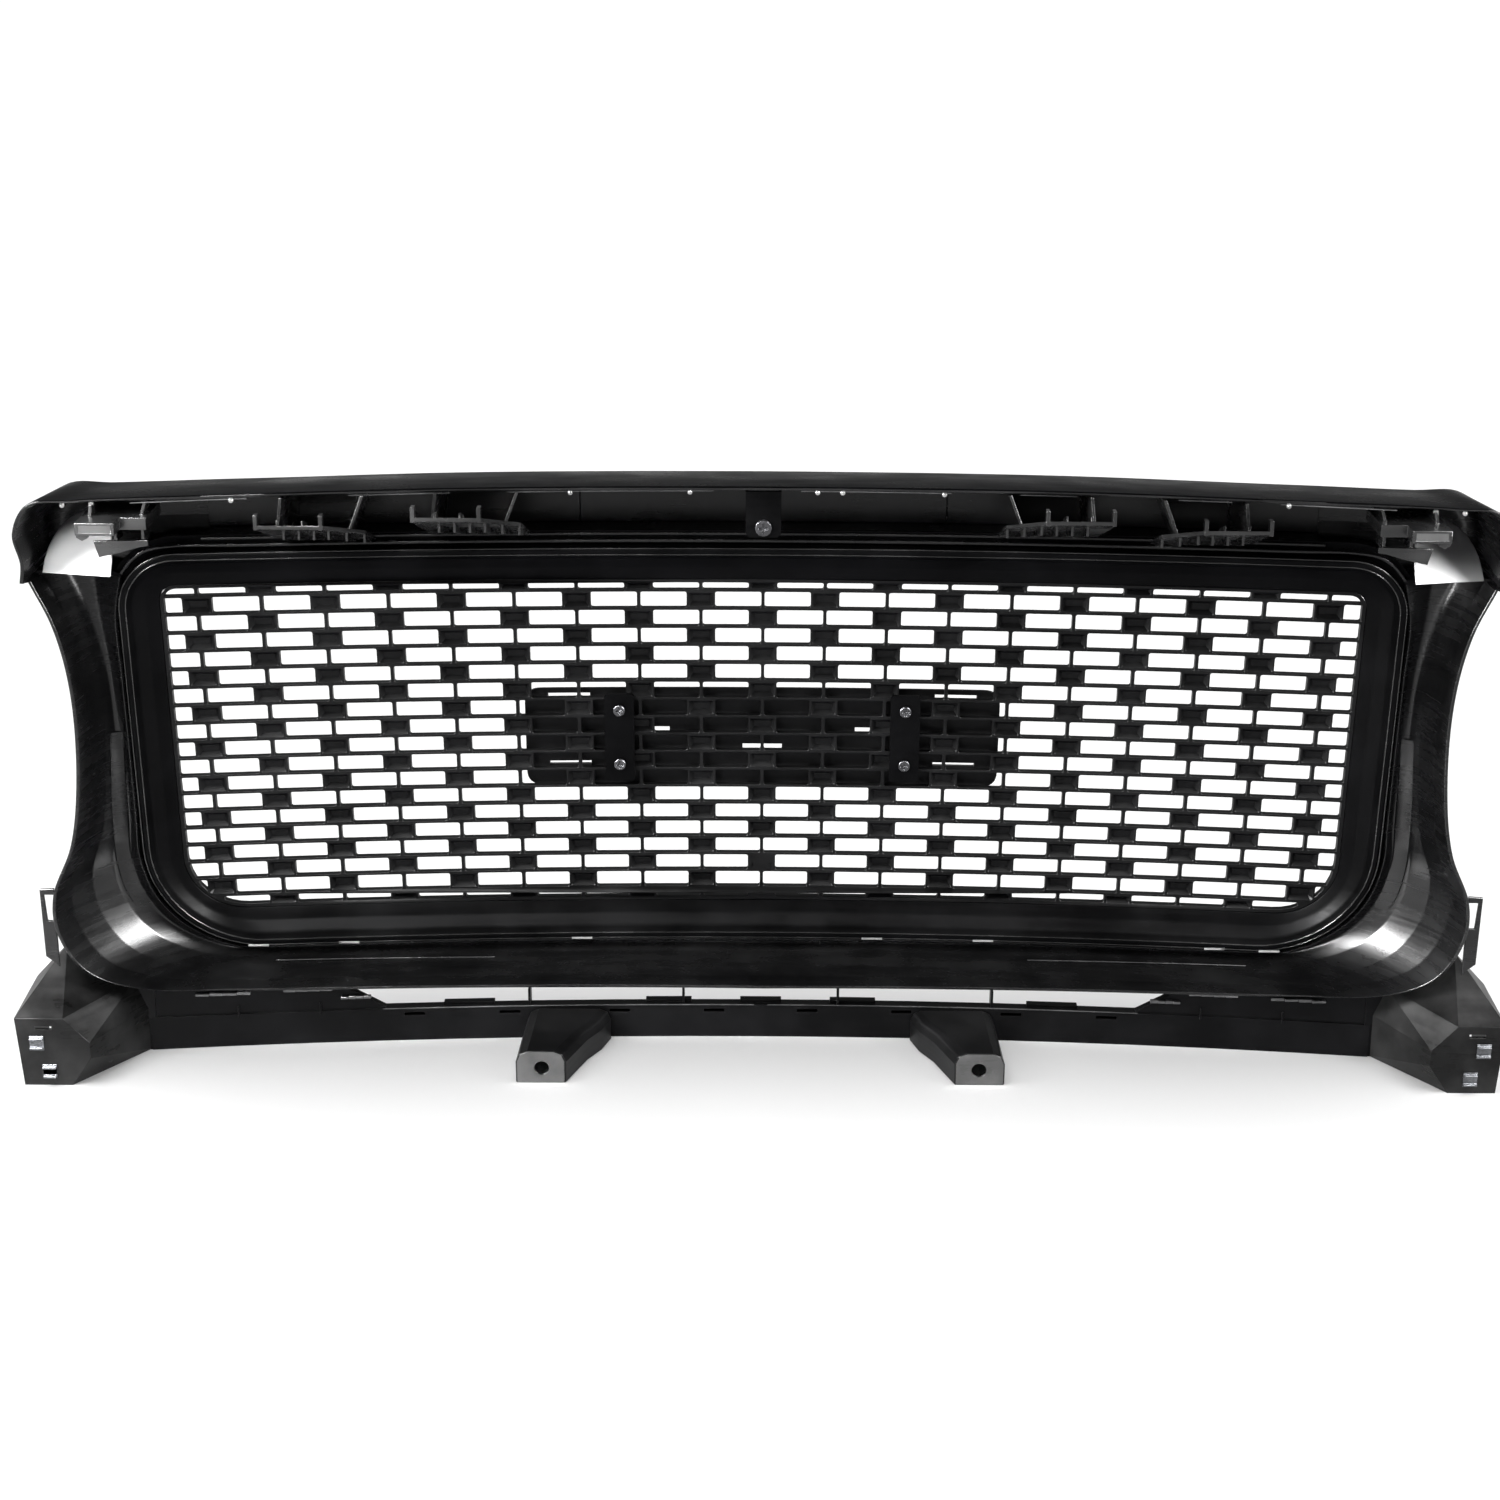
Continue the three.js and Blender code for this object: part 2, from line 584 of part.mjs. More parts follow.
// Slots through the badge, each given by its middle across, middle up, width and height.
const BADGE_SLOTS = [[166, 40.6, 36, 6], [166, -22.8, 36, 4.6], [87, 8.4, 14, 6.4], [0, -7.9, 34, 6.8]];
const badgeSlots = () => BADGE_SLOTS.flatMap(([x, z, width, height]) => [-x, x].map((middle) => (
  block(middle - width / 2, middle + width / 2, -60, 60, z - height / 2, z + height / 2)
)));

const bossEnd = (z) => meshPlane(z) + sweep(BOSS_X) + 0.3;
const RETAINER_REAR = 4.6;

function badgeCarrier() {
  const plate = rakedSlab(BADGE, -13.5, -10.5);
  const places = BOSS_HEIGHTS.flatMap((z) => [[-BOSS_X, z], [BOSS_X, z]]);
  const bosses = places.map(([x, z]) => pin(x, z, BOSS_RADIUS, meshPlane(z) - 11, bossEnd(z)));
  const pilots = places.map(([x, z]) => pin(x, z, 2.6, bossEnd(z) - 10, bossEnd(z) + 1, 8));
  return cut(join(plate, ...bosses), ...pilots, ...badgeSlots());
}

function badgeFace() {
  return cut(rakedSlab({ ...BADGE, half: 200, top: 45.5, bottom: -40 }, -20, -13.9), ...badgeSlots());
}

function badgeRetainer() {
  const plate = rakedSlab({ half: 12.7, top: 46.8, bottom: -34.6, topRadius: 3 }, 1.5, RETAINER_REAR);
  const moved = geometryOf(plate).translate(BOSS_X, sweep(BOSS_X), 0);
  return cut(moved, ...BOSS_HEIGHTS.map((z) => pin(BOSS_X, z, 2.9, -20, 30, 8)));
}

// ---- lower valance, arms and tabs ---------------------------------------------------------------
const VALANCE_HALF = 528.6;
const LEDGE_FRONT = 15;
const FENCE_TOP = [[328, -232.5], [366, -210.2], [450, -206.5], [VALANCE_HALF, -199.5]];   // place across, height

function valance() {
  const profile = [
    [VALANCE_REAR, FLOOR], [VALANCE_REAR, VALANCE_TOP], [LEDGE_FRONT, VALANCE_TOP], [-6, -250], [-6, FLOOR],
    [-3, FLOOR], [-3, -248.4], [LEDGE_FRONT + 1, VALANCE_TOP - WALL],
    [VALANCE_REAR - WALL, VALANCE_TOP - WALL], [VALANCE_REAR - WALL, FLOOR],
  ];
  const SPANS = 16;
  const sections = Array.from({ length: SPANS + 1 }, (_, i) => {
    const x = lerp(-VALANCE_HALF, VALANCE_HALF, i / SPANS);
    return profile.map(([y, z]) => [x, y + sweep(x), z]);
  });
  const add = [];
  const slots = [];
  for (const side of [-1, 1]) {
    for (const x of [68, 203]) {
      const web = side * x;
      add.push(block(web - 1, web + 1, 11 + sweep(x), 26 + sweep(x), VALANCE_TOP - 1, -218.5));
    }
    for (const [x0, x1] of [[61, 101], [234, 278]]) {
      const [a, b] = side > 0 ? [x0, x1] : [-x1, -x0];
      add.push(sweptStrip(a, b, LEDGE_FRONT - 1, VALANCE_REAR - 6, VALANCE_TOP - 1, VALANCE_TOP + 2.5));
    }
    const [near, far] = [LEDGE_FRONT + 4, VALANCE_REAR - 2];
    const fence = FENCE_TOP.map(([x, high]) => [
      [near, VALANCE_TOP - 1], [far, VALANCE_TOP - 1], [far, high], [near, high],
    ].map(([y, z]) => [side * x, y + sweep(x), z]));
    add.push(loft(fence, 1, 2));
    for (const x of [303, 220, 124, 41]) {
      const middle = side * x;
      slots.push(block(middle - 9, middle + 9, 18, 50, -240.5, -237.5));
    }
  }
  add.push(sweptStrip(-18, 18, LEDGE_FRONT - 1, VALANCE_REAR - 6, VALANCE_TOP - 1, VALANCE_TOP + 2.5));
  return cut(join(loft(sections, 1, 2), ...add), ...slots);
}

// An upside-down channel that runs back from the valance to a bolting face.
const ARM_REAR = 125;
const ARM_HOLE = { x: 185.5, z: -250.3, radius: 6 };

function lowerArm() {
  const spans = [[34.5, 131, 204], [58, 138, 205], [80, 149.5, 206], [ARM_REAR, 165, 207.5]];
  const section = ([y, x0, x1], inset, foot) => [
    [x0 + inset, y, foot], [x0 + inset, y, -245], [x0 + inset + 3, y, -238 - inset],
    [x0 + 10, y, -235 - inset], [x1 - 10, y, -235 - inset], [x1 - inset - 3, y, -238 - inset],
    [x1 - inset, y, -245], [x1 - inset, y, foot],
  ];
  const outside = loft(spans.map((span) => section(span, 0, FLOOR)), 0, 2);
  const hollowSpans = spans.map(([y, x0, x1], i) => [[33, y, y, ARM_REAR - 3.5][i], x0, x1]);
  const inside = loft(hollowSpans.map((span) => section(span, WALL, FLOOR - 5)), 0, 2);
  return cut(outside, inside, pin(ARM_HOLE.x, ARM_HOLE.z, ARM_HOLE.radius, ARM_REAR - 8, ARM_REAR + 4, 16));
}

const CORNER_REAR = 135;
const CLIPS = [[609, -225], [599.5, -251]];   // centres of the two spring clips on an end face

function cornerArm() {
  const end = [[627, -203], [586, -203], [565, -225], [564.5, -239], [581.5, FLOOR], [622, FLOOR]];
  const root = [[625, -196], [597, -166], [540, -198], [529, -225], [529.2, FLOOR], [620, FLOOR]];
  const at = (points, y) => points.map(([x, z]) => [x, y, z]);
  const shrink = (points) => {
    const [cx, cz] = [0, 1].map((k) => points.reduce((sum, p) => sum + p[k], 0) / points.length);
    return points.map(([x, z]) => {
      const reach = Math.hypot(x - cx, z - cz);
      const share = 1 - 1.3 * WALL / reach;
      return [lerp(cx, x, share), lerp(cz, z, share)];
    });
  };
  const outside = loft([at(end, CORNER_REAR), at(root, 60)], 0, 2);
  const inside = loft([at(shrink(end), CORNER_REAR - 3.5), at(shrink(root), 59)], 0, 2);
  const [deep, proud] = [CORNER_REAR - 9, CORNER_REAR + 4];
  const slot = block(596, 610, deep, proud, -213, -210);
  const windows = CLIPS.map(([x, z]) => block(x - 4, x + 4, deep, proud, z - 4, z + 4));
  return cut(outside, inside, slot, ...windows);
}

// A spring clip in an end-face window: a flat base, two prongs inside and two ears behind.
function cornerClip([x, z]) {
  const base = CORNER_REAR + GAP;
  return join(
    block(x - 6, x + 6, base, base + 1.2, z - 6.5, z + 6.5),
    block(x - 3, x - 1.6, base - 9, base + 0.6, z - 3, z + 3),
    block(x + 1.6, x + 3, base - 9, base + 0.6, z - 3, z + 3),
    block(x - 5.5, x + 5.5, base + 0.6, base + 4, z + 3.2, z + 5),
    block(x - 5.5, x + 5.5, base + 0.6, base + 4, z - 5, z - 3.2),
  );
}

// A flat ear outboard of the lower corner, whose slot opens towards the surround.
function sideTab() {
  const inner = 593.6;
  const shape = outline([
    [605.8, -99.7], [inner, -98.9], [inner, -104.5], [602.3, -104.5], [600.8, -127.8],
    [inner, -127.8], [inner, -170], [596.5, -166.6], [604.7, -160.3],
  ]);
  return rearPlate(shape, 99, 102);
}

// ---- assembly -------------------------------------------------------------------------------------
place('mesh_insert', meshInsert(), meshBlack);
place('inner_frame', innerFrame(), frameBlack);
place('front_trim_ring', frontTrim(), glossBlack);
placeSurround();
place('header_wall_centre', headerWall(-WALL_JOINT, WALL_JOINT), frameBlack);
placePair('header_wall', headerWall(WALL_JOINT + GAP, CARRIER_HALF), frameBlack);
place('header_shelf', headerShelf(), frameBlack);
placePair('upper_mount_outer', tongueMount({
  outer: 399, rearInner: 345, inner: 317, tongueZ: 230, outerFin: 384, innerFin: 321,
}), frameBlack);
placePair('upper_mount_inner', tongueMount({
  outer: 276, rearInner: 221, inner: 193, tongueZ: 237, outerFin: 262.5, innerFin: 199,
}), frameBlack);
placePair('shoulder_locator', shoulderLocator(), frameBlack);
placePair('shoulder_panel', shoulderPanel(), greyBlack);
place('centre_bracket', centreBracket(), frameBlack);
place('centre_screw', screw(0, 216, 100 + GAP, 6.6, 4.5, 4.6, 14), darkSteel);
place('badge_carrier', badgeCarrier(), meshBlack);
place('badge_face', badgeFace(), glossBlack);
placePair('badge_retainer', badgeRetainer(), frameBlack);
for (const [level, z] of [['upper', BOSS_HEIGHTS[0]], ['lower', BOSS_HEIGHTS[1]]]) {
  const seat = meshPlane(z) + sweep(BOSS_X) + RETAINER_REAR + 1;
  placePair(`badge_screw_${level}`, screw(BOSS_X, z, seat, 5, 3.2, 2.1, 10), darkSteel);
}
place('lower_valance', valance(), satinBlack);
placePair('lower_arm', lowerArm(), satinBlack);
placePair('corner_arm', cornerArm(), satinBlack);
placePair('corner_clip_upper', cornerClip(CLIPS[0]), clipSteel);
placePair('corner_clip_lower', cornerClip(CLIPS[1]), clipSteel);
placePair('side_tab', sideTab(), satinBlack);

export default grille;
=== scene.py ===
import math
import bmesh
import bpy
from mathutils import Matrix, Vector


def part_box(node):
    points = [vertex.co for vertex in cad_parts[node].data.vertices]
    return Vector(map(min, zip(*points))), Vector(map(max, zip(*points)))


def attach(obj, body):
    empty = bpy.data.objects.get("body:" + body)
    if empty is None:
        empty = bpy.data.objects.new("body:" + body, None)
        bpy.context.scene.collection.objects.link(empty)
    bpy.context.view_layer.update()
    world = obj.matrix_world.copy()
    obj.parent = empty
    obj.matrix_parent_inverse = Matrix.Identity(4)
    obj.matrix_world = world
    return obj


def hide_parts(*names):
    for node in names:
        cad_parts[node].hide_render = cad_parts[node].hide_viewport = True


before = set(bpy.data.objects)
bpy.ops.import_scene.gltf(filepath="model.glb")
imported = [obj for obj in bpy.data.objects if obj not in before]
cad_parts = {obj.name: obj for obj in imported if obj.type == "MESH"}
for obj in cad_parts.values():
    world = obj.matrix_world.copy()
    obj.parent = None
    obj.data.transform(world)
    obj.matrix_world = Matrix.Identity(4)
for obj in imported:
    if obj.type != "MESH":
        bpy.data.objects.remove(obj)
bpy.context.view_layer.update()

# Shapes are worked out in millimetres about the middle of the mesh's rear face, with +X to the
# vehicle's left, +Y to its rear and +Z up, and are moved into the frame's metres at the end.
MM = 0.001
BRACKET_REAR = 100             # depth of the centre bracket's rear face behind the mesh centre
mesh_low, mesh_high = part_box("mesh_insert")
OPENING_DROP = 0.7             # the opening's middle is this far below the mesh centre
ORIGIN = Vector((
    0,
    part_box("centre_bracket")[1].y - BRACKET_REAR * MM,
    (mesh_low.z + mesh_high.z) / 2 + OPENING_DROP * MM,
))

# ---- driving dimensions ---------------------------------------------------------------------
SWEEP = 31.9                   # the face sweeps rearward this far at 500 mm from the centre
RAKE = math.tan(math.radians(7))
WALL = 3
COLUMN = 104.67                # repeat of the mesh pattern across
ROW = 16.5                     # repeat of the mesh pattern upward
BAR = 2
DIVIDER = 2.8
BLOCK = 24
MESH_DEPTH = 7
MESH_RIM = 3.4
ROWS_EACH_WAY = 9
OPENING = dict(half=501, top=151, bottom=-152.4, top_radius=14, bottom_radius=52)
RIDGE = dict(half=524, top=177, bottom=-177, top_radius=42, bottom_radius=93)
CAP_REAR = 105
SIDE_REAR = 65
LIP_REAR = 36


def sweep(x):
    return SWEEP * (x / 500) ** 2


def rake(z):
    return z * RAKE


def lerp(a, b, share):
    return a + (b - a) * share


# ---- materials --------------------------------------------------------------------------------
def node_material(name):
    """A new material with its node tree, its surface shader and a helper that adds nodes."""
    material = bpy.data.materials.new(name)
    material.use_nodes = True
    tree = material.node_tree
    shader = tree.nodes["Principled BSDF"]

    def add(kind, **values):
        node = tree.nodes.new(kind)
        for key, value in values.items():
            if key in node.inputs:
                node.inputs[key].default_value = value
            else:
                setattr(node, key, value)
        return node

    return material, tree, shader, add


def ramp(tree, add, source, low, high, start=0.35, end=0.65):
    """Spreads a noise value between two numbers."""
    spread = add("ShaderNodeMapRange")
    spread.inputs["From Min"].default_value = start
    spread.inputs["From Max"].default_value = end
    spread.inputs["To Min"].default_value = low
    spread.inputs["To Max"].default_value = high
    tree.links.new(source, spread.inputs["Value"])
    return spread.outputs["Result"]


# Cap faces chosen by these two get a darker, almost unreflecting copy of the black: painted shade on the
# cap's top.
CAP_LEVEL = 0.48               # the surround's top cap lies above this height in metres
CAP_SLOPE = 0.25               # and faces upward at least this much


def plastic(name, color, roughness, specular=0.35, grain=0.25, mottle=0.08, dust=0.5, ior=1.5):
    """Moulded plastic: slow colour drift, cloudy gloss, faint flow streaks and a fine grain."""
    material, tree, shader, add = node_material(name)
    place = add("ShaderNodeTexCoord").outputs["Object"]
    cloud = add("ShaderNodeTexNoise", Scale=14.0, Detail=5.0, Roughness=0.6)
    fine = add("ShaderNodeTexNoise", Scale=900.0, Detail=2.0, Roughness=0.5)
    streak_place = add("ShaderNodeMapping")
    streak_place.inputs["Scale"].default_value = (3.0, 3.0, 60.0)
    streaks = add("ShaderNodeTexNoise", Scale=4.0, Detail=4.0, Roughness=0.55)
    for noise in (cloud, fine):
        tree.links.new(place, noise.inputs["Vector"])
    tree.links.new(place, streak_place.inputs["Vector"])
    tree.links.new(streak_place.outputs["Vector"], streaks.inputs["Vector"])

    colors = add("ShaderNodeMix", data_type="RGBA")
    dark = [c * 0.75 for c in color]
    dusty = [min(1.0, c * (1.25 + dust)) for c in color]
    colors.inputs["A"].default_value = (*dark, 1)
    colors.inputs["B"].default_value = (*dusty, 1)
    tree.links.new(ramp(tree, add, cloud.outputs["Fac"], 0, 1, 0.4, 0.7), colors.inputs["Factor"])
    tree.links.new(colors.outputs["Result"], shader.inputs["Base Color"])

    gloss = add("ShaderNodeMath", operation="ADD")
    tree.links.new(
        ramp(tree, add, cloud.outputs["Fac"], roughness - mottle, roughness + mottle), gloss.inputs[0])
    tree.links.new(ramp(tree, add, streaks.outputs["Fac"], -0.03, 0.04), gloss.inputs[1])
    tree.links.new(gloss.outputs["Value"], shader.inputs["Roughness"])

    bump = add("ShaderNodeBump", Strength=grain, Distance=0.00005)
    tree.links.new(fine.outputs["Fac"], bump.inputs["Height"])
    tree.links.new(bump.outputs["Normal"], shader.inputs["Normal"])
    shader.inputs["Specular IOR Level"].default_value = specular
    shader.inputs["IOR"].default_value = ior
    return material


def metal(name, color, roughness):
    """Plated or coated steel: short brush marks and small stains."""
    material, tree, shader, add = node_material(name)
    place = add("ShaderNodeTexCoord").outputs["Object"]
    stretch = add("ShaderNodeMapping")
    stretch.inputs["Scale"].default_value = (1.0, 1.0, 12.0)
    brushed = add("ShaderNodeTexNoise", Scale=500.0, Detail=3.0, Roughness=0.6)
    stains = add("ShaderNodeTexNoise", Scale=120.0, Detail=3.0, Roughness=0.6)
    tree.links.new(place, stretch.inputs["Vector"])
    tree.links.new(stretch.outputs["Vector"], brushed.inputs["Vector"])
    tree.links.new(place, stains.inputs["Vector"])
    colors = add("ShaderNodeMix", data_type="RGBA")
    colors.inputs["A"].default_value = (*[c * 0.7 for c in color], 1)
    colors.inputs["B"].default_value = (*[min(1.0, c * 1.2) for c in color], 1)
    tree.links.new(ramp(tree, add, stains.outputs["Fac"], 0, 1), colors.inputs["Factor"])
    tree.links.new(colors.outputs["Result"], shader.inputs["Base Color"])
    tree.links.new(
        ramp(tree, add, brushed.outputs["Fac"], roughness - 0.08, roughness + 0.1),
        shader.inputs["Roughness"])
    bump = add("ShaderNodeBump", Strength=0.15, Distance=0.00003)
    tree.links.new(brushed.outputs["Fac"], bump.inputs["Height"])
    tree.links.new(bump.outputs["Normal"], shader.inputs["Normal"])
    shader.inputs["Metallic"].default_value = 1.0
    return material


# The greys on studs, lines and small blocks stand for highlights that bare plastic would not show.
MATERIALS = {
    "satin_black": plastic("satin_black", (0.005, 0.005, 0.0055), 0.26, specular=0.23, grain=0.1,
                           mottle=0.03),
    # A darker copy of the black with almost no reflection: painted shade for the cap's upward faces.
    "cap_shaded_black": plastic("cap_shaded_black", (0.002, 0.002, 0.0024), 0.3, specular=0.005, mottle=0.05),
    "frame_black": plastic("frame_black", (0.002, 0.002, 0.0024), 0.42, specular=0.02, grain=0.4),
    "wall_black": plastic("wall_black", (0.004, 0.004, 0.0045), 0.3, specular=0.2, mottle=0.04),
    "mesh_black": plastic("mesh_black", (0.003, 0.003, 0.0035), 0.45, specular=0.07, grain=0.3),
    "tongue_black": plastic("tongue_black", (0.008, 0.008, 0.0085), 0.24, specular=0.4),
    "valance_black": plastic("valance_black", (0.003, 0.003, 0.0035), 0.38, specular=0.05),
    # Lighter black for the ridge's crest beads: painted highlights, with random drift in tone.
    "ridge_highlight_bead": plastic("ridge_highlight_bead", (0.012, 0.012, 0.012), 0.22, specular=0.35, dust=1.5),
    # Grey for the cap line, lip lines, ledge edges and hooks: painted highlights.
    "painted_highlight_grey": plastic("painted_highlight_grey", (0.07, 0.07, 0.072), 0.25, specular=0.4, dust=0.8),
    "lit_edge": plastic("lit_edge", (0.45, 0.45, 0.45), 0.25, specular=0.5, dust=0.3),
    # Pale grey for the seam studs: painted highlights (glints).
    "stud_highlight_grey": plastic("stud_highlight_grey", (0.3, 0.3, 0.3), 0.12, specular=0.6, mottle=0.03),
    "arm_black": plastic("arm_black", (0.003, 0.003, 0.0035), 0.36, specular=0.08),
    # Pale grey for the arm bolting faces and locator ends: painted highlights.
    "flange_highlight_grey": plastic("flange_highlight_grey", (0.11, 0.11, 0.11), 0.35, specular=0.2, dust=0.3),
    "scuffed_black": plastic("scuffed_black", (0.008, 0.008, 0.008), 0.34, specular=0.08, dust=2.5),
    "gloss_black": plastic("gloss_black", (0.004, 0.004, 0.0045), 0.12, specular=0.4, grain=0.05,
                           mottle=0.03, dust=0.2),
    "panel_grey": plastic("panel_grey", (0.03, 0.03, 0.031), 0.48, specular=0.75, grain=0.05,
                          mottle=0.03, dust=0.1, ior=2.0),
    "dark_steel": metal("dark_steel", (0.05, 0.05, 0.053), 0.3),
    "clip_steel": metal("clip_steel", (0.07, 0.072, 0.076), 0.3),
}


# ---- shape helpers ------------------------------------------------------------------------------
def to_metres(point):
    return ORIGIN + Vector(point) * MM


def mesh_object(name, points, faces):
    """A mesh piece from millimetre points, with its faces turned outward."""
    data = bpy.data.meshes.new(name)
    data.from_pydata([to_metres(point) for point in points], [], faces)
    work = bmesh.new()
    work.from_mesh(data)
    bmesh.ops.recalc_face_normals(work, faces=work.faces)
    work.to_mesh(data)
    work.free()
    piece = bpy.data.objects.new(name, data)
    bpy.context.scene.collection.objects.link(piece)
    return piece


def rounded(points, radius, steps=3):
    """A closed outline with its corners rounded, by one radius or by one for each corner."""
    radii = radius if isinstance(radius, (list, tuple)) else [radius] * len(points)
    least = 0.02
    most = 0.45                # share of a side that one corner may take
    result = []
    for i, corner in enumerate(points):
        corner = Vector(corner)
        before = Vector(points[i - 1]) - corner
        after = Vector(points[(i + 1) % len(points)]) - corner
        half_turn = max(before.angle(after) / 2, 1e-3)
        reach = min(radii[i] / math.tan(half_turn), most * before.length, most * after.length)
        reach = max(reach, least)
        start = corner + before.normalized() * reach
        end = corner + after.normalized() * reach
        for k in range(steps + 1):
            t = k / steps
            result.append(start * (1 - t) ** 2 + corner * 2 * t * (1 - t) + end * t * t)
    return result


def skin(name, sections, closed=False):
    """A body skinned over matching closed sections, capped at its ends unless it closes on itself."""
    count = len(sections[0])
    points = [point for section in sections for point in section]
    faces = []
    for s in range(len(sections) - (0 if closed else 1)):
        here = s * count
        there = (s + 1) % len(sections) * count
        for c in range(count):
            d = (c + 1) % count
            faces.append((here + c, here + d, there + d, there + c))
    if not closed:
        faces.append(tuple(range(count)))
        faces.append(tuple(reversed(range(len(points) - count, len(points)))))
    return mesh_object(name, points, faces)


def smooth(piece, angle=32):
    data = piece.data
    data.polygons.foreach_set("use_smooth", [True] * len(data.polygons))
    data.set_sharp_from_angle(angle=math.radians(angle))


def bevel(piece, width, segments=2, angle=30):
    modifier = piece.modifiers.new("edge_rounding", "BEVEL")
    modifier.width = width * MM
    modifier.segments = segments
    modifier.limit_method = "ANGLE"
    modifier.angle_limit = math.radians(angle)
    modifier.harden_normals = False
    normals = piece.modifiers.new("even_normals", "WEIGHTED_NORMAL")
    normals.keep_sharp = True


def bake(piece):
    """Applies the piece's modifiers."""
    graph = bpy.context.evaluated_depsgraph_get()
    data = bpy.data.meshes.new_from_object(piece.evaluated_get(graph))
    piece.modifiers.clear()
    piece.data = data


def boolean(piece, other, operation):
    """Cuts or joins another closed piece, which is used up."""
    modifier = piece.modifiers.new(operation, "BOOLEAN")
    modifier.object = other
    modifier.operation = operation
    modifier.solver = "MANIFOLD"
    bake(piece)
    bpy.data.objects.remove(other)


def both(name):
    return [f"{name}_left", f"{name}_right"]


def finish_piece(piece, slot, *nodes, look=None):
    """Gives a piece its finish, makes it ride on the body and stand for its CAD nodes."""
    piece.data.materials.clear()
    piece.data.materials.append(MATERIALS[look or slot])
    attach(piece, "root")
    if nodes:
        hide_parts(*nodes)


def fine_copy(node, width=0.6, segments=2):
    """A copy of a CAD node with its flat faces made whole, ready for rounded edges."""
    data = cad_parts[node].data.copy()
    work = bmesh.new()
    work.from_mesh(data)
    bmesh.ops.remove_doubles(work, verts=work.verts, dist=1e-6)
    bmesh.ops.dissolve_limit(
        work, angle_limit=math.radians(0.5), verts=work.verts, edges=work.edges)
    work.to_mesh(data)
    work.free()
    piece = bpy.data.objects.new(f"{node}_moulding", data)
    bpy.context.scene.collection.objects.link(piece)
    smooth(piece)
    bevel(piece, width, segments)
    return piece


# ---- outlines -------------------------------------------------------------------------------------
def half_rounded_rectangle(size, straight=22, arc=14, side=10):
    """Half of a rounded rectangle from the top centre round to the bottom centre."""
    top_end = size["half"] - size["top_radius"]
    bottom_end = size["half"] - size["bottom_radius"]
    side_top = size["top"] - size["top_radius"]
    side_bottom = size["bottom"] + size["bottom_radius"]
    points = [(lerp(0, top_end, i / straight), size["top"]) for i in range(straight)]
    for i in range(arc):
        turn = i / arc * math.pi / 2
        points.append((
            top_end + size["top_radius"] * math.sin(turn),
            size["top"] - size["top_radius"] * (1 - math.cos(turn)),
        ))
    points += [(size["half"], lerp(side_top, side_bottom, i / side)) for i in range(side)]
    for i in range(arc):
        turn = i / arc * math.pi / 2
        points.append((
            bottom_end + size["bottom_radius"] * math.cos(turn),
            side_bottom - size["bottom_radius"] * math.sin(turn),
        ))
    points += [(lerp(bottom_end, 0, i / straight), size["bottom"]) for i in range(straight + 1)]
    return points


def grown(size, by):
    signs = dict(half=1, top=1, bottom=-1, top_radius=1, bottom_radius=1)
    return {key: value + by * signs[key] for key, value in size.items()}


def mirrored(points):
    return [(-point[0], *point[1:]) for point in points]


def full_loop(half):
    """A whole ring of sections from its left half, whose ends lie on the middle plane."""
    return half + [mirrored(section) for section in reversed(half[1:-1])]


def whole_outline(size, **counts):
    half = half_rounded_rectangle(size, **counts)
    return half + [(-x, z) for x, z in reversed(half[1:-1])]


# ---- rings round the mesh ---------------------------------------------------------------------------
def framed_ring(name, inner, outer, section, radii):
    """A ring between two rounded rectangles. The section lists [share, extra width, depth]."""
    half = []
    inside = half_rounded_rectangle(inner)
    outside = half_rounded_rectangle(outer)
    for (xi, zi), (xo, zo) in zip(inside, outside):
        length = math.hypot(xo - xi, zo - zi)
        outline = [(share * length + extra, depth) for share, extra, depth in section]
        station = []
        for s, depth in rounded(outline, radii):
            x = lerp(xi, xo, s / length)
            z = lerp(zi, zo, s / length)
            station.append((x, depth + rake(z) + sweep(x), z))
        half.append(station)
    return skin(name, full_loop(half), closed=True)


def make_inner_frame():
    section = [
        (0, 0, -6), (0, 0, 1), (0.45, 0, 5), (0.85, 0, 12), (1, 0, 19), (1, 5, 19),
        (1, 7, 14), (1, 7, 6), (1, 3, 6), (0.9, 0, 4), (0.5, 0, -1),
    ]
    radii = [0.6, 0.9, 14, 10, 1.3, 1.1, 2, 0.6, 0.6, 4, 6]
    piece = framed_ring("inner_frame_moulding", OPENING, RIDGE, section, radii)
    smooth(piece)
    finish_piece(piece, "frame_black", "inner_frame")


def make_front_trim():
    section = [
        (0, 0, -9), (0.3, 0, -16.3), (0.75, 0, -16.9), (1, 0, -10),
        (1, 0, -14), (0.78, 0, -20.3), (0.27, 0, -19.7), (0, 0, -13),
    ]
    radii = [0.6, 4, 4, 0.8, 0.8, 6, 6, 0.8]
    outer = dict(half=546, top=183, bottom=-201, top_radius=80, bottom_radius=118)
    piece = framed_ring("front_trim_moulding", grown(OPENING, 2), outer, section, radii)
    smooth(piece)
    finish_piece(piece, "gloss_black", "front_trim_ring")


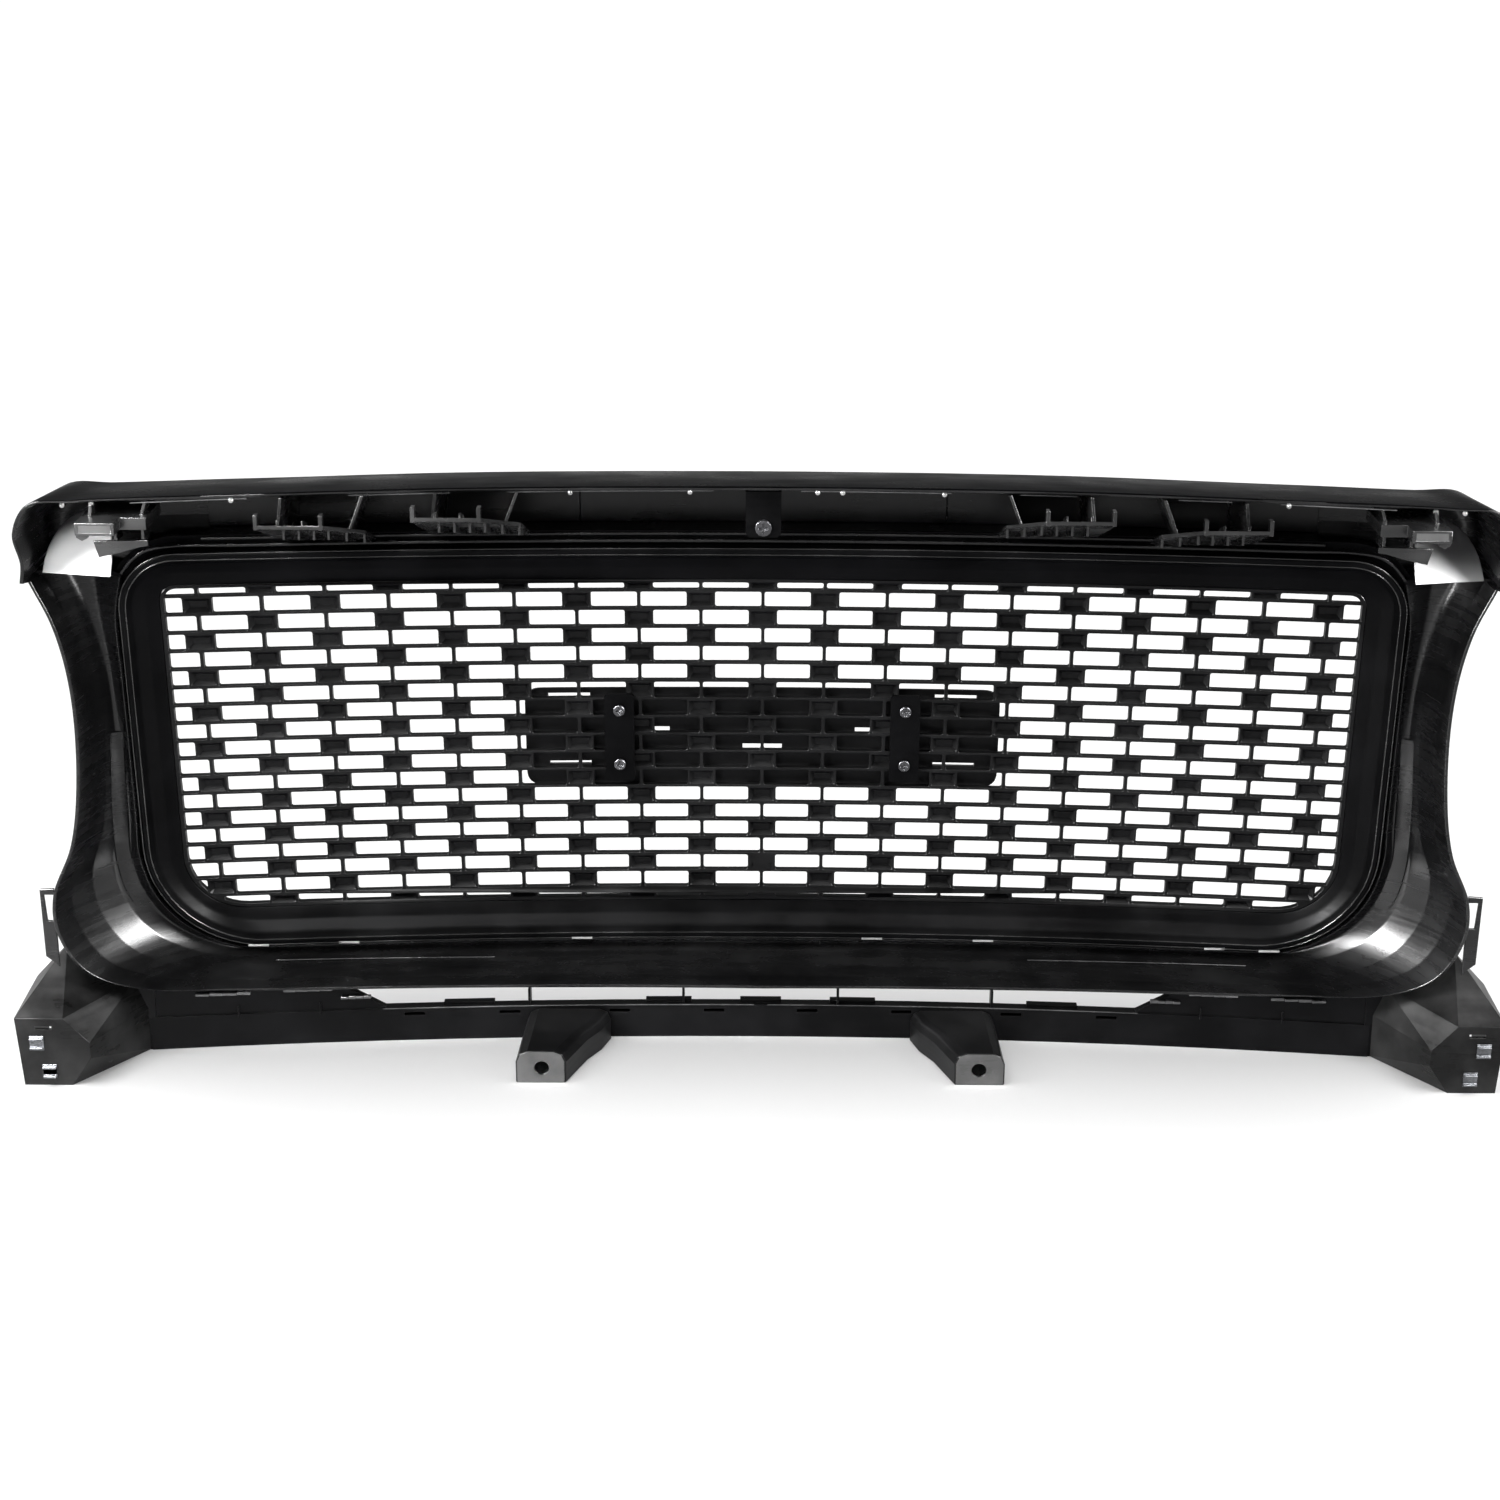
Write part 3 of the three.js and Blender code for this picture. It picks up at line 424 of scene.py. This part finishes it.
# ---- surround shell -----------------------------------------------------------------------------------
# Stations from the top centre round to the bottom centre: the point beside the ridge (x, z), the
# inner edge of the rim (x, z), the rim's depth and how far the wall flares beyond the rim.
CHANNEL_STATIONS = [
    (0, 185, 0, 247.6, CAP_REAR, 0),
    (250, 185, 250, 246.8, CAP_REAR, 0),
    (430, 185, 440, 243.5, CAP_REAR - 2, 0),
    (481, 185, 545, 242, CAP_REAR - 5, 2),
    (502, 181.6, 579, 238.5, CAP_REAR - 8, 9),
    (513.7, 175, 592, 214, CAP_REAR - 12, 15),
    (520, 169.6, 588, 190, CAP_REAR - 15, 17),
    (524, 165.3, 590, 174, CAP_REAR - 17, 14),
]
BOWL_STATIONS = [
    (527, 161.6, 590, 169.5, SIDE_REAR, 6),
    (534.5, 127, 574, 130, SIDE_REAR, 0),
    (534.5, 75, 564, 76, SIDE_REAR, 0),
    (534.5, 0, 564, 0, SIDE_REAR, 0),
    (534.5, -60, 573, -60, SIDE_REAR, 0),
    (534, -95, 590, -102, SIDE_REAR, 0),
    (524, -132, 589, -138, SIDE_REAR, 0),
    (499.5, -163.5, 569, -175, SIDE_REAR - 4, 0),
    (463, -184, 525, -196, SIDE_REAR - 12, 0),
    (430, -187.5, 450, -204, LIP_REAR + 6, 0),
    (230, -187.5, 235, -210, LIP_REAR, 0),
    (0, -187.5, 0, -212.5, LIP_REAR, 0),
]


def channel_path(plane, rim_y):
    """Rear surface of the wall: share of the way to the rim, depth, share of the flare."""
    return [
        (0.065, plane + 12, 0), (0.085, -12, 0), (0.3, -15.5, 0.2),
        (0.66, -16, 1), (0.79, -9, 1), (1, rim_y, 0),
    ]


def bowl_path(plane, rim_y):
    return [
        (0.02, plane + 12, 0), (0.16, plane + 5, 0), (0.4, plane * 0.5 + 5, 0),
        (0.66, rim_y * 0.25, 0.5), (0.87, rim_y * 0.6, 1), (1, rim_y, 0),
    ]


def spline(rows, t):
    """A centripetal Catmull-Rom curve through rows of numbers, at t from 0 to 1."""
    def knot(a, b):
        distance = math.dist(a[:2], b[:2]) + math.dist(a[2:4], b[2:4])
        return max(distance, 1e-6) ** 0.5

    def mix(a, b, ta, tb, at):
        return [u + (v - u) * (at - ta) / (tb - ta) for u, v in zip(a, b)]

    span = t * (len(rows) - 1)
    i = min(int(span), len(rows) - 2)
    share = span - i
    p1, p2 = rows[i], rows[i + 1]
    p0 = rows[i - 1] if i else [2 * a - b for a, b in zip(p1, p2)]
    p3 = rows[i + 2] if i + 2 < len(rows) else [2 * b - a for a, b in zip(p1, p2)]
    t0 = 0.0
    t1 = t0 + knot(p0, p1)
    t2 = t1 + knot(p1, p2)
    t3 = t2 + knot(p2, p3)
    at = lerp(t1, t2, share)
    a1, a2, a3 = mix(p0, p1, t0, t1, at), mix(p1, p2, t1, t2, at), mix(p2, p3, t2, t3, at)
    b1, b2 = mix(a1, a2, t0, t2, at), mix(a2, a3, t1, t3, at)
    return mix(b1, b2, t1, t2, at)


REAR_RADII = [1.0, 5, 9, 12, 12, 1.2]


def wall_section(row, rear_path, front_path=None):
    """One closed section of the shell's wall, its corners rounded."""
    beside_x, beside_z, rim_x, rim_z, rim_y, flare = row
    length = math.hypot(rim_x - beside_x, rim_z - beside_z)

    def surface(path):
        return [(share * length + part * flare, depth)
                for share, depth, part in path(rake(beside_z), rim_y)]

    def offset(line):
        result = []
        for i, (s, y) in enumerate(line):
            s0, y0 = line[max(0, i - 1)]
            s1, y1 = line[min(len(line) - 1, i + 1)]
            step = math.hypot(s1 - s0, y1 - y0)
            result.append((s + WALL * (y1 - y0) / step, y - WALL * (s1 - s0) / step))
        return result

    rear = surface(rear_path)
    front = offset(surface(front_path or rear_path))[::-1]
    section = []
    for s, y in rounded(rear + front, REAR_RADII + REAR_RADII[::-1], steps=4):
        x = lerp(beside_x, rim_x, s / length)
        section.append((x, y + sweep(x), lerp(beside_z, rim_z, s / length)))
    return section


CHANNEL_STEPS = 48
BOWL_STEPS = 110
POCKET_SHARES = (0.15, 0.85)   # the wall changes its course between these, at the shoulder


def make_surround_shell():
    channel = [spline(CHANNEL_STATIONS, i / CHANNEL_STEPS) for i in range(CHANNEL_STEPS + 1)]
    bowl = [spline(BOWL_STATIONS, i / BOWL_STEPS) for i in range(BOWL_STEPS + 1)]
    pocket = [[lerp(a, b, share) for a, b in zip(channel[-1], bowl[0])] for share in POCKET_SHARES]
    half = [wall_section(row, channel_path) for row in channel]
    half += [wall_section(row, bowl_path, channel_path) for row in pocket]
    half += [wall_section(row, bowl_path) for row in bowl]
    for end in (0, -1):
        half[end] = [(0, y, z) for x, y, z in half[end]]
    piece = skin("surround_shell_moulding", full_loop(half), closed=True)
    smooth(piece, 40)
    finish_piece(piece, "satin_black", "surround_header_centre", "surround_lip",
                 *both("surround_header"), *both("surround_side"))
    # The cap's upward faces take the darker copy of the black, which paints shade on them.
    piece.data.materials.append(MATERIALS["cap_shaded_black"])
    for face in piece.data.polygons:
        if face.center.z > CAP_LEVEL and face.normal.z > CAP_SLOPE:
            face.material_index = 1


# ---- mesh insert ---------------------------------------------------------------------------------------
NEAREST = 0.3                  # points of a clipped outline that lie closer than this become one
COLUMNS_EACH_WAY = 6
BLOCK_WALL = 1.6               # wall between an open cell and the pocket beside it
POCKET_INSET = 1.2
SMALLEST_CELL = 25             # cells cut smaller than this by the edge stay closed
CELL_RADIUS = 1.9
POCKET_RADIUS = 1.2
EDGE_EASE = 0.3                # depth of the eased edge round each cell
EASE_GROWTH = 0.6
POCKET_FLOOR = 1.6
POCKET_TAPER = 3.2
EDGE_GAP = 0.4


def clipped(polygon, window):
    """The part of a convex outline inside a convex window, both anticlockwise."""
    result = list(polygon)
    for i, a in enumerate(window):
        b = window[(i + 1) % len(window)]

        def inside(p):
            return (b[0] - a[0]) * (p[1] - a[1]) - (b[1] - a[1]) * (p[0] - a[0])

        kept = []
        for k, q in enumerate(result):
            p = result[k - 1]
            sp, sq = inside(p), inside(q)
            if sp * sq < 0:
                share = sp / (sp - sq)
                kept.append((lerp(p[0], q[0], share), lerp(p[1], q[1], share)))
            if sq >= 0:
                kept.append(q)
        result = kept
    apart = []
    for p in result:
        if not apart or math.dist(p, apart[-1]) > NEAREST:
            apart.append(p)
    if len(apart) > 1 and math.dist(apart[0], apart[-1]) <= NEAREST:
        apart.pop()
    return apart


def area(polygon):
    total = 0
    for i, (x, z) in enumerate(polygon):
        nx, nz = polygon[(i + 1) % len(polygon)]
        total += x * nz - nx * z
    return total / 2


def outset(points, by):
    """Moves an anticlockwise outline outward along its corner normals."""
    result = []
    for i, p in enumerate(points):
        along = Vector(points[(i + 1) % len(points)]) - Vector(points[i - 1])
        result.append(Vector(p) + Vector((along.y, -along.x)).normalized() * by)
    return result


def punch(outlines, levels):
    """Points and faces of cutters that follow outlines through levels of (depth, growth)."""
    points, faces = [], []
    for outline in outlines:
        first = len(points)
        count = len(outline)
        for depth, growth in levels:
            points += [(x, depth, z) for x, z in outset(outline, growth)]
        for level in range(len(levels) - 1):
            base = first + level * count
            for c in range(count):
                d = (c + 1) % count
                faces.append((base + c, base + d, base + d + count, base + c + count))
        faces.append(tuple(range(first, first + count)))
        faces.append(tuple(reversed(range(first + (len(levels) - 1) * count,
                                          first + len(levels) * count))))
    return points, faces


def anticlockwise(points):
    return points if area(points) > 0 else points[::-1]


def mesh_openings():
    """Outlines of the open cells and of the pockets in the blocks between them."""
    window = anticlockwise(whole_outline(grown(OPENING, -MESH_RIM), straight=2, arc=10, side=2))
    cells, pockets = [], []
    reach = (COLUMN - BLOCK) / 2
    for row in range(-ROWS_EACH_WAY, ROWS_EACH_WAY + 1):
        shift = 0 if row % 2 == 0 else COLUMN / 2
        low = row * ROW - (ROW - BAR) / 2
        high = low + ROW - BAR
        for column in range(-COLUMNS_EACH_WAY, COLUMNS_EACH_WAY):
            middle = column * COLUMN + shift
            spans = [(middle - reach, middle - DIVIDER / 2, cells),
                     (middle + DIVIDER / 2, middle + reach, cells)]
            spans.append((middle + reach + BLOCK_WALL, middle + COLUMN - reach - BLOCK_WALL, pockets))
            for x0, x1, kind in spans:
                inset = POCKET_INSET if kind is pockets else 0
                box = [(x0, low + inset), (x1, low + inset), (x1, high - inset), (x0, high - inset)]
                shape = clipped(box, window)
                if len(shape) >= 3 and area(shape) > SMALLEST_CELL:
                    kind.append(rounded(shape, CELL_RADIUS if kind is cells else POCKET_RADIUS))
    return cells, pockets


def make_mesh_insert():
    edge = anticlockwise(whole_outline(grown(OPENING, -EDGE_GAP), straight=2, arc=10, side=2))
    slab = mesh_object("mesh_insert_moulding", *punch([edge], [(-MESH_DEPTH, 0), (0, 0)]))
    cells, pockets = mesh_openings()
    rear_edge = [(-EDGE_EASE, 0), (EDGE_EASE, EASE_GROWTH)]
    through = [(-MESH_DEPTH - EDGE_EASE, EASE_GROWTH), (-MESH_DEPTH + EDGE_EASE, 0)] + rear_edge
    blind = [(-MESH_DEPTH + POCKET_FLOOR, -POCKET_TAPER)] + rear_edge
    boolean(slab, mesh_object("cells", *punch(cells, through)), "DIFFERENCE")
    boolean(slab, mesh_object("pockets", *punch(pockets, blind)), "DIFFERENCE")
    work = bmesh.new()
    work.from_mesh(slab.data)
    bmesh.ops.triangulate(work, faces=work.faces)
    for vertex in work.verts:
        x = (vertex.co.x - ORIGIN.x) / MM
        z = (vertex.co.z - ORIGIN.z) / MM
        vertex.co.y += (sweep(x) + rake(z)) * MM
    work.to_mesh(slab.data)
    work.free()
    smooth(slab, 30)
    finish_piece(slab, "mesh_black", "mesh_insert")


# ---- details -----------------------------------------------------------------------------------------------
BOX_FACES = [(0, 1, 3, 2), (4, 6, 7, 5), (0, 4, 5, 1), (2, 3, 7, 6), (0, 2, 6, 4), (1, 5, 7, 3)]


def boxes(name, spans, slot, width=0.4, look=None):
    """Many small blocks in one piece, each given by its (low, high) pairs along X, Y and Z."""
    points, faces = [], []
    for xs, ys, zs in spans:
        first = len(points)
        points += [(x, y, z) for x in xs for y in ys for z in zs]
        faces += [tuple(first + k for k in face) for face in BOX_FACES]
    piece = mesh_object(name, points, faces)
    smooth(piece)
    bevel(piece, width)
    finish_piece(piece, slot, look=look)


def domes(name, places, slot, look=None):
    """Many small round studs in one piece, each given by its middle and radius."""
    work = bmesh.new()
    for x, y, z, radius in places:
        spot = Matrix.Translation(to_metres((x, y, z)))
        bmesh.ops.create_uvsphere(work, u_segments=20, v_segments=12, radius=radius * MM, matrix=spot)
    data = bpy.data.meshes.new(name)
    work.to_mesh(data)
    work.free()
    piece = bpy.data.objects.new(name, data)
    bpy.context.scene.collection.objects.link(piece)
    smooth(piece, 60)
    finish_piece(piece, slot, look=look)


def bowl_depth(row, s):
    """Depth of the bowl's rear surface at a distance from the ridge along one station."""
    beside_x, beside_z, rim_x, rim_z, rim_y, flare = row
    length = math.hypot(rim_x - beside_x, rim_z - beside_z)
    line = [(share * length + part * flare, depth)
            for share, depth, part in bowl_path(rake(beside_z), rim_y)]
    for (s0, y0), (s1, y1) in zip(line, line[1:]):
        if s <= s1:
            return lerp(y0, y1, (s - s0) / (s1 - s0))
    return line[-1][1]


def make_bead_strips():
    """A low raised strip on each side wall, beside the ridge."""
    low, high = -142, 22
    count = 40
    rows = [row for row in (spline(BOWL_STATIONS, i / 300) for i in range(301))
            if low < row[1] < high]
    rows = rows[::max(1, len(rows) // count)]
    for side, name in ((1, "left"), (-1, "right")):
        sections = []
        for row in rows:
            beside_x, beside_z, rim_x, rim_z = row[:4]
            length = math.hypot(rim_x - beside_x, rim_z - beside_z)
            share = (high - beside_z) / (high - low)
            start = lerp(4.5, 9.5, share)
            end = start + lerp(11, 14, share)
            taper = min(1, 8 * share, 8 * (1 - share))
            raised = 1.8 * taper
            outline = [(start, -0.6), (end, -0.6), (end - 1, raised), (start + 1, raised)]
            section = []
            for s, lift in rounded(outline, [0.2, 0.2, 0.9, 0.9]):
                x = lerp(beside_x, rim_x, s / length)
                z = lerp(beside_z, rim_z, s / length)
                section.append((side * x, bowl_depth(row, s) + sweep(x) + lift, z))
            sections.append(section)
        piece = skin(f"bead_strip_{name}", sections)
        smooth(piece, 50)
        finish_piece(piece, "satin_black")


STUD_HEIGHT = 245.6
STUD_RADIUS = 2.2
SHOULDER_STEP = 8              # the studs over the shoulders sit this much further forward
SEAM_STUDS = (554, 531.5, 422, 154.5, 58.8, -43.3, -63.3, -144.6, -416.3, -531.5, -554)


def cap_drop(x):
    """How far the cap's rear rim falls away from the middle."""
    return 4.1 * (x / 440) ** 2


def make_seam_studs():
    """Small studs along the under edge of the cap's rear rim, coloured pale grey as painted highlights."""
    places = [(x, CAP_REAR - 2.5 + sweep(x) - (SHOULDER_STEP if abs(x) > 500 else 0),
               STUD_HEIGHT - cap_drop(x), STUD_RADIUS) for x in SEAM_STUDS]
    domes("seam_studs", places, "frame_black", look="stud_highlight_grey")


def tube(name, path, radius, slot, look=None):
    """A thin round bead along a path, drawn with eight sides."""
    sides = 8
    sections = []
    for i, point in enumerate(path):
        before = Vector(path[max(0, i - 1)])
        after = Vector(path[min(len(path) - 1, i + 1)])
        along = (after - before).normalized()
        across = along.cross(Vector((0, 0, 1)) if abs(along.z) < 0.9 else Vector((0, 1, 0))).normalized()
        other = along.cross(across)
        sections.append([
            tuple(Vector(point) + (across * math.cos(turn) + other * math.sin(turn)) * radius)
            for turn in (2 * math.pi * k / sides for k in range(sides))
        ])
    piece = skin(name, sections)
    smooth(piece, 60)
    finish_piece(piece, slot, look=look)


def make_ridge_edges():
    """Two thin beads along the ridge's crest, lighter than the frame as painted highlights."""
    for name, by, depth, radius in (("inner", 0.6, 18.9, 0.55), ("outer", 5.8, 18, 0.6)):
        loop = whole_outline(grown(RIDGE, by))
        path = [(x, depth + rake(z) + sweep(x), z) for x, z in loop]
        tube(f"ridge_highlight_bead_{name}", path + path[:1], radius, "frame_black", look="ridge_highlight_bead")


SEAL_INNER = 3
SEAL_OUTER = 18
SEAL_FRONT = 1
SEAL_REAR = 3


def make_ridge_seal():
    """A dark strip that fills the slit between the ridge and the shell. The object has no such part."""
    inner = half_rounded_rectangle(grown(RIDGE, SEAL_INNER))
    outer = half_rounded_rectangle(grown(RIDGE, SEAL_OUTER))
    sections = []
    for (x0, z0), (x1, z1) in zip(inner, outer):
        y0 = rake(z0) + sweep(x0)
        y1 = rake(z1) + sweep(x1)
        sections.append([(x0, y0 + SEAL_FRONT, z0), (x0, y0 + SEAL_REAR, z0),
                         (x1, y1 + SEAL_REAR, z1), (x1, y1 + SEAL_FRONT, z1)])
    piece = skin("ridge_seal", full_loop(sections), closed=True)
    smooth(piece)
    finish_piece(piece, "frame_black")


CAP_LINE_HEIGHT = 246.4
CAP_LINE_RUNS = (
    (-500, -410), (-372, -330), (-250, -205), (-150, -30), (40, 205), (250, 330), (410, 500))


def make_cap_line():
    """A thin edge under the cap's rear rim, coloured grey as a painted highlight."""
    for a, b in CAP_LINE_RUNS:
        xs = [lerp(a, b, i / 12) for i in range(13)]
        path = [(x, CAP_REAR - 3 + sweep(x), CAP_LINE_HEIGHT - cap_drop(x)) for x in xs]
        tube(f"cap_line_{int(a)}".replace("-", "r"), path, 0.5, "satin_black", look="painted_highlight_grey")


def lip_point(x, share, lift=0.3):
    """A point on the bottom lip's rear surface."""
    row = spline(BOWL_STATIONS[-3:], (BOWL_STATIONS[-3][0] - abs(x)) / BOWL_STATIONS[-3][0])
    length = math.hypot(row[2] - row[0], row[3] - row[1])
    depth = bowl_depth(row, share * length)
    return (x, depth + sweep(x) + lift, lerp(row[1], row[3], share))


FOOT_MARKS = (440, 362, 158, -98, -196, -398, -445)


def make_lip_marks():
    """Grey lines along the lip, which are painted highlights, and short raised blocks along the ridge's foot,
    coloured pale as painted light for the bright marks there.
    """
    for side, name in ((1, "left"), (-1, "right")):
        path = [lip_point(side * lerp(235, 425, i / 24), 0.5) for i in range(25)]
        tube(f"lip_line_{name}", path, 0.5, "satin_black", look="painted_highlight_grey")
    spans = []
    for x in FOOT_MARKS:
        z = RIDGE["bottom"] - 5.9
        y = 18.4 + rake(z) + sweep(x)
        spans.append(((x - 9, x + 9), (y - 1, y + 0.7), (z - 0.9, z + 0.9)))
    # Pale blocks at the ridge's foot: painted light for the bright marks there, not real slots.
    boxes("ridge_foot_painted_light", spans, "frame_black", 0.3, look="lit_edge")


HOOK_ROWS = ((443, 490, -215.5, -212.5), (373, 415, -214.5, -211.5), (340, 366, -223, -220))
HOOKS_EACH = 4
RIB_PLACES = (454, 384)
FILLER_FRONT = 60              # the blocks that fill the gap beside each corner arm start here


def make_valance_details():
    """Hooks, ribs and the ledge's edge, and blocks that fill the gap beside each corner arm. The hooks and
    the ledge's edge are grey as painted highlights.
    """
    hooks, ribs = [], []
    for side in (1, -1):
        for x0, x1, z0, z1 in HOOK_ROWS:
            for k in range(HOOKS_EACH):
                a, b = lerp(x0, x1, k / HOOKS_EACH), lerp(x0, x1, (k + 1) / HOOKS_EACH)
                y = 26 + sweep((a + b) / 2)
                xs = tuple(sorted((side * a, side * b)))
                hooks.append((xs, (y, y + 3.5), (z0, z1 - 0.6 * (k % 2))))
        for x in RIB_PLACES:
            y = 27.5 + sweep(x)
            ribs.append(((side * x - 0.8, side * x + 0.8), (y, y + 1.6), (-237, -226)))
        for reach, heights in ((533, (-264, -222)), (543, (-223, -201))):
            ends = tuple(sorted((side * 524, side * reach)))
            ribs.append((ends, (FILLER_FRONT, FILLER_FRONT + 3), heights))
    # The hooks and the ledge's edges are grey: painted highlights.
    boxes("valance_hooks", hooks, "satin_black", 0.5, look="painted_highlight_grey")
    boxes("valance_ribs", ribs, "satin_black", 0.4, look="valance_black")
    for side, name in ((1, "left"), (-1, "right")):
        path = [(side * x, 27.4 + sweep(x), -233.9) for x in (lerp(6, 330, i / 30) for i in range(31))]
        tube(f"ledge_edge_{name}", path, 0.7, "satin_black", look="painted_highlight_grey")


ARM_REAR = 125
TONGUE_REAR = 160
ARM_HOLE = (185.5, -250.3, 6.4)


def make_locator_ends():
    """The end of each shoulder locator, coloured pale grey as a painted highlight."""
    spans = [(tuple(sorted((side * 510, side * 537))), (TONGUE_REAR - 1.2, TONGUE_REAR - 0.3), (222, 230))
             for side in (1, -1)]
    boxes("locator_ends", spans, "frame_black", 0.3, look="flange_highlight_grey")


def make_arm_flanges():
    """The bolting faces on the ends of the lower arms, coloured pale grey as painted highlights."""
    face = [(166.2, -263.6), (206.3, -263.6), (206.3, -244.5), (203.5, -238.2), (197, -235.6),
            (175.5, -235.6), (169, -238.2), (166.2, -244.5)]
    x, z, radius = ARM_HOLE
    hole = [(x + radius * math.cos(turn), z + radius * math.sin(turn))
            for turn in (2 * math.pi * k / 32 for k in range(32))]
    for side, name in ((1, "left"), (-1, "right")):
        outline = anticlockwise(rounded([(side * a, b) for a, b in face], 1.5))
        levels = [(ARM_REAR - 0.6, 0), (ARM_REAR + 0.25, 0)]
        plate = mesh_object(f"arm_flange_{name}", *punch([outline], levels))
        cutter = anticlockwise([(side * a, b) for a, b in hole])
        boolean(plate, mesh_object("bolt", *punch([cutter], [(ARM_REAR - 2, 0), (ARM_REAR + 2, 0)])),
                "DIFFERENCE")
        smooth(plate)
        finish_piece(plate, "satin_black", look="flange_highlight_grey")


# ---- build -------------------------------------------------------------------------------------------------
COPIES = [
    (["header_wall_centre", "header_shelf"] + both("header_wall"), "frame_black", 0.6, "wall_black"),
    (both("upper_mount_outer") + both("upper_mount_inner"), "frame_black", 0.5, "tongue_black"),
    (both("shoulder_locator"), "frame_black", 0.6, "tongue_black"),
    (both("shoulder_panel"), "panel_grey", 0.6, None),
    (["centre_bracket"], "frame_black", 0.8, None),
    (["centre_screw"] + both("badge_screw_upper") + both("badge_screw_lower"), "dark_steel", 0.5, None),
    (["badge_carrier"], "mesh_black", 0.5, None),
    (["badge_face"], "gloss_black", 1.2, None),
    (both("badge_retainer"), "frame_black", 1.0, None),
    (["lower_valance"], "satin_black", 0.6, "valance_black"),
    (both("lower_arm"), "satin_black", 1.2, "arm_black"),
    (both("corner_arm"), "satin_black", 1.4, "scuffed_black"),
    (both("corner_clip_upper") + both("corner_clip_lower"), "clip_steel", 0.3, None),
    (both("side_tab"), "satin_black", 0.6, None),
]


def build():
    make_mesh_insert()
    make_inner_frame()
    make_front_trim()
    make_surround_shell()
    make_bead_strips()
    make_seam_studs()
    make_ridge_edges()
    make_ridge_seal()
    make_cap_line()
    make_lip_marks()
    make_valance_details()
    make_arm_flanges()
    make_locator_ends()
    for nodes, slot, width, look in COPIES:
        for node in nodes:
            finish_piece(fine_copy(node, width), slot, node, look=look)


build()


# ---- floor, light and camera ----------------------------------------------------------------------
def make_floor():
    material, tree, shader, add = node_material("pale_floor")
    noise = add("ShaderNodeTexNoise", Scale=3.0, Detail=3.0)
    shader.inputs["Base Color"].default_value = (0.92, 0.92, 0.92, 1)
    tree.links.new(ramp(tree, add, noise.outputs["Fac"], 0.55, 0.65), shader.inputs["Roughness"])
    size = 40
    data = bpy.data.meshes.new("floor")
    data.from_pydata([(-size, -size, 0), (size, -size, 0), (size, size, 0), (-size, size, 0)], [],
                     [(0, 1, 2, 3)])
    floor = bpy.data.objects.new("floor", data)
    bpy.context.scene.collection.objects.link(floor)
    data.materials.append(material)


def add_light(name, kind, place, target, power, shows=None, **settings):
    """A light that aims at a target; one that shows only one kind of shading hides from the other."""
    data = bpy.data.lights.new(name, kind)
    data.energy = power
    for key, value in settings.items():
        setattr(data, key, value)
    light = bpy.data.objects.new(name, data)
    light.location = place
    light.rotation_euler = (Vector(target) - Vector(place)).to_track_quat("-Z", "Y").to_euler()
    bpy.context.scene.collection.objects.link(light)
    if shows:
        for kind_of_ray in ("visible_diffuse", "visible_glossy"):
            setattr(light, kind_of_ray, kind_of_ray == shows)


def make_lights():
    world = bpy.data.worlds.new("studio")
    bpy.context.scene.world = world
    world.use_nodes = True
    background = world.node_tree.nodes["Background"]
    background.inputs["Color"].default_value = (1, 1, 1, 1)
    background.inputs["Strength"].default_value = 0.3
    add_light("overhead", "SUN", place=(0.3, 0.2, 4), target=(0, 0, 0), power=3.3,
              shows="visible_diffuse", angle=math.radians(60))
    # The pale shoulder and the bright lower corners are reflections of the next three.
    add_light("shoulder_softbox", "AREA", place=(0.95, 1.72, 1.46), target=(0.55, 0, 0.45), power=200,
              shows="visible_glossy", shape="RECTANGLE", size=0.5, size_y=0.4)
    for name, side, power in (("left_corner", -1, 280), ("right_corner", 1, 420)):
        add_light(name, "AREA", place=(side * 1.16, 0.53, 1.02), target=(-side * 0.54, 0.03, 0.1),
                  power=power, shows="visible_glossy", shape="RECTANGLE", size=0.65, size_y=0.65)
    add_light("low_left", "AREA", place=(1.1, 2.2, 0.3), target=(0.5, 0, 0.4), power=8,
              shape="RECTANGLE", size=0.5, size_y=0.35)


# The camera stands behind the grille and looks at the mesh centre.
CAMERA_DISTANCE = 2.4
CAMERA_ELEVATION = math.radians(18.51)
CAMERA_ROLL = math.radians(0.338)
LENS = 66.8
SENSOR_WIDTH = 36
SHIFT = (-0.0081, -0.0049)


def make_camera():
    data = bpy.data.cameras.new("camera")
    data.lens = LENS
    data.sensor_width = SENSOR_WIDTH
    data.shift_x, data.shift_y = SHIFT
    camera = bpy.data.objects.new("camera", data)
    reach = Vector((0, math.cos(CAMERA_ELEVATION), math.sin(CAMERA_ELEVATION))) * CAMERA_DISTANCE
    camera.location = ORIGIN + reach
    aim = (-reach).to_track_quat("-Z", "Y").to_matrix() @ Matrix.Rotation(CAMERA_ROLL, 3, "Z")
    camera.rotation_euler = aim.to_euler()
    bpy.context.scene.collection.objects.link(camera)
    bpy.context.scene.camera = camera


make_floor()
make_lights()
make_camera()
bpy.context.scene.view_settings.view_transform = "Standard"
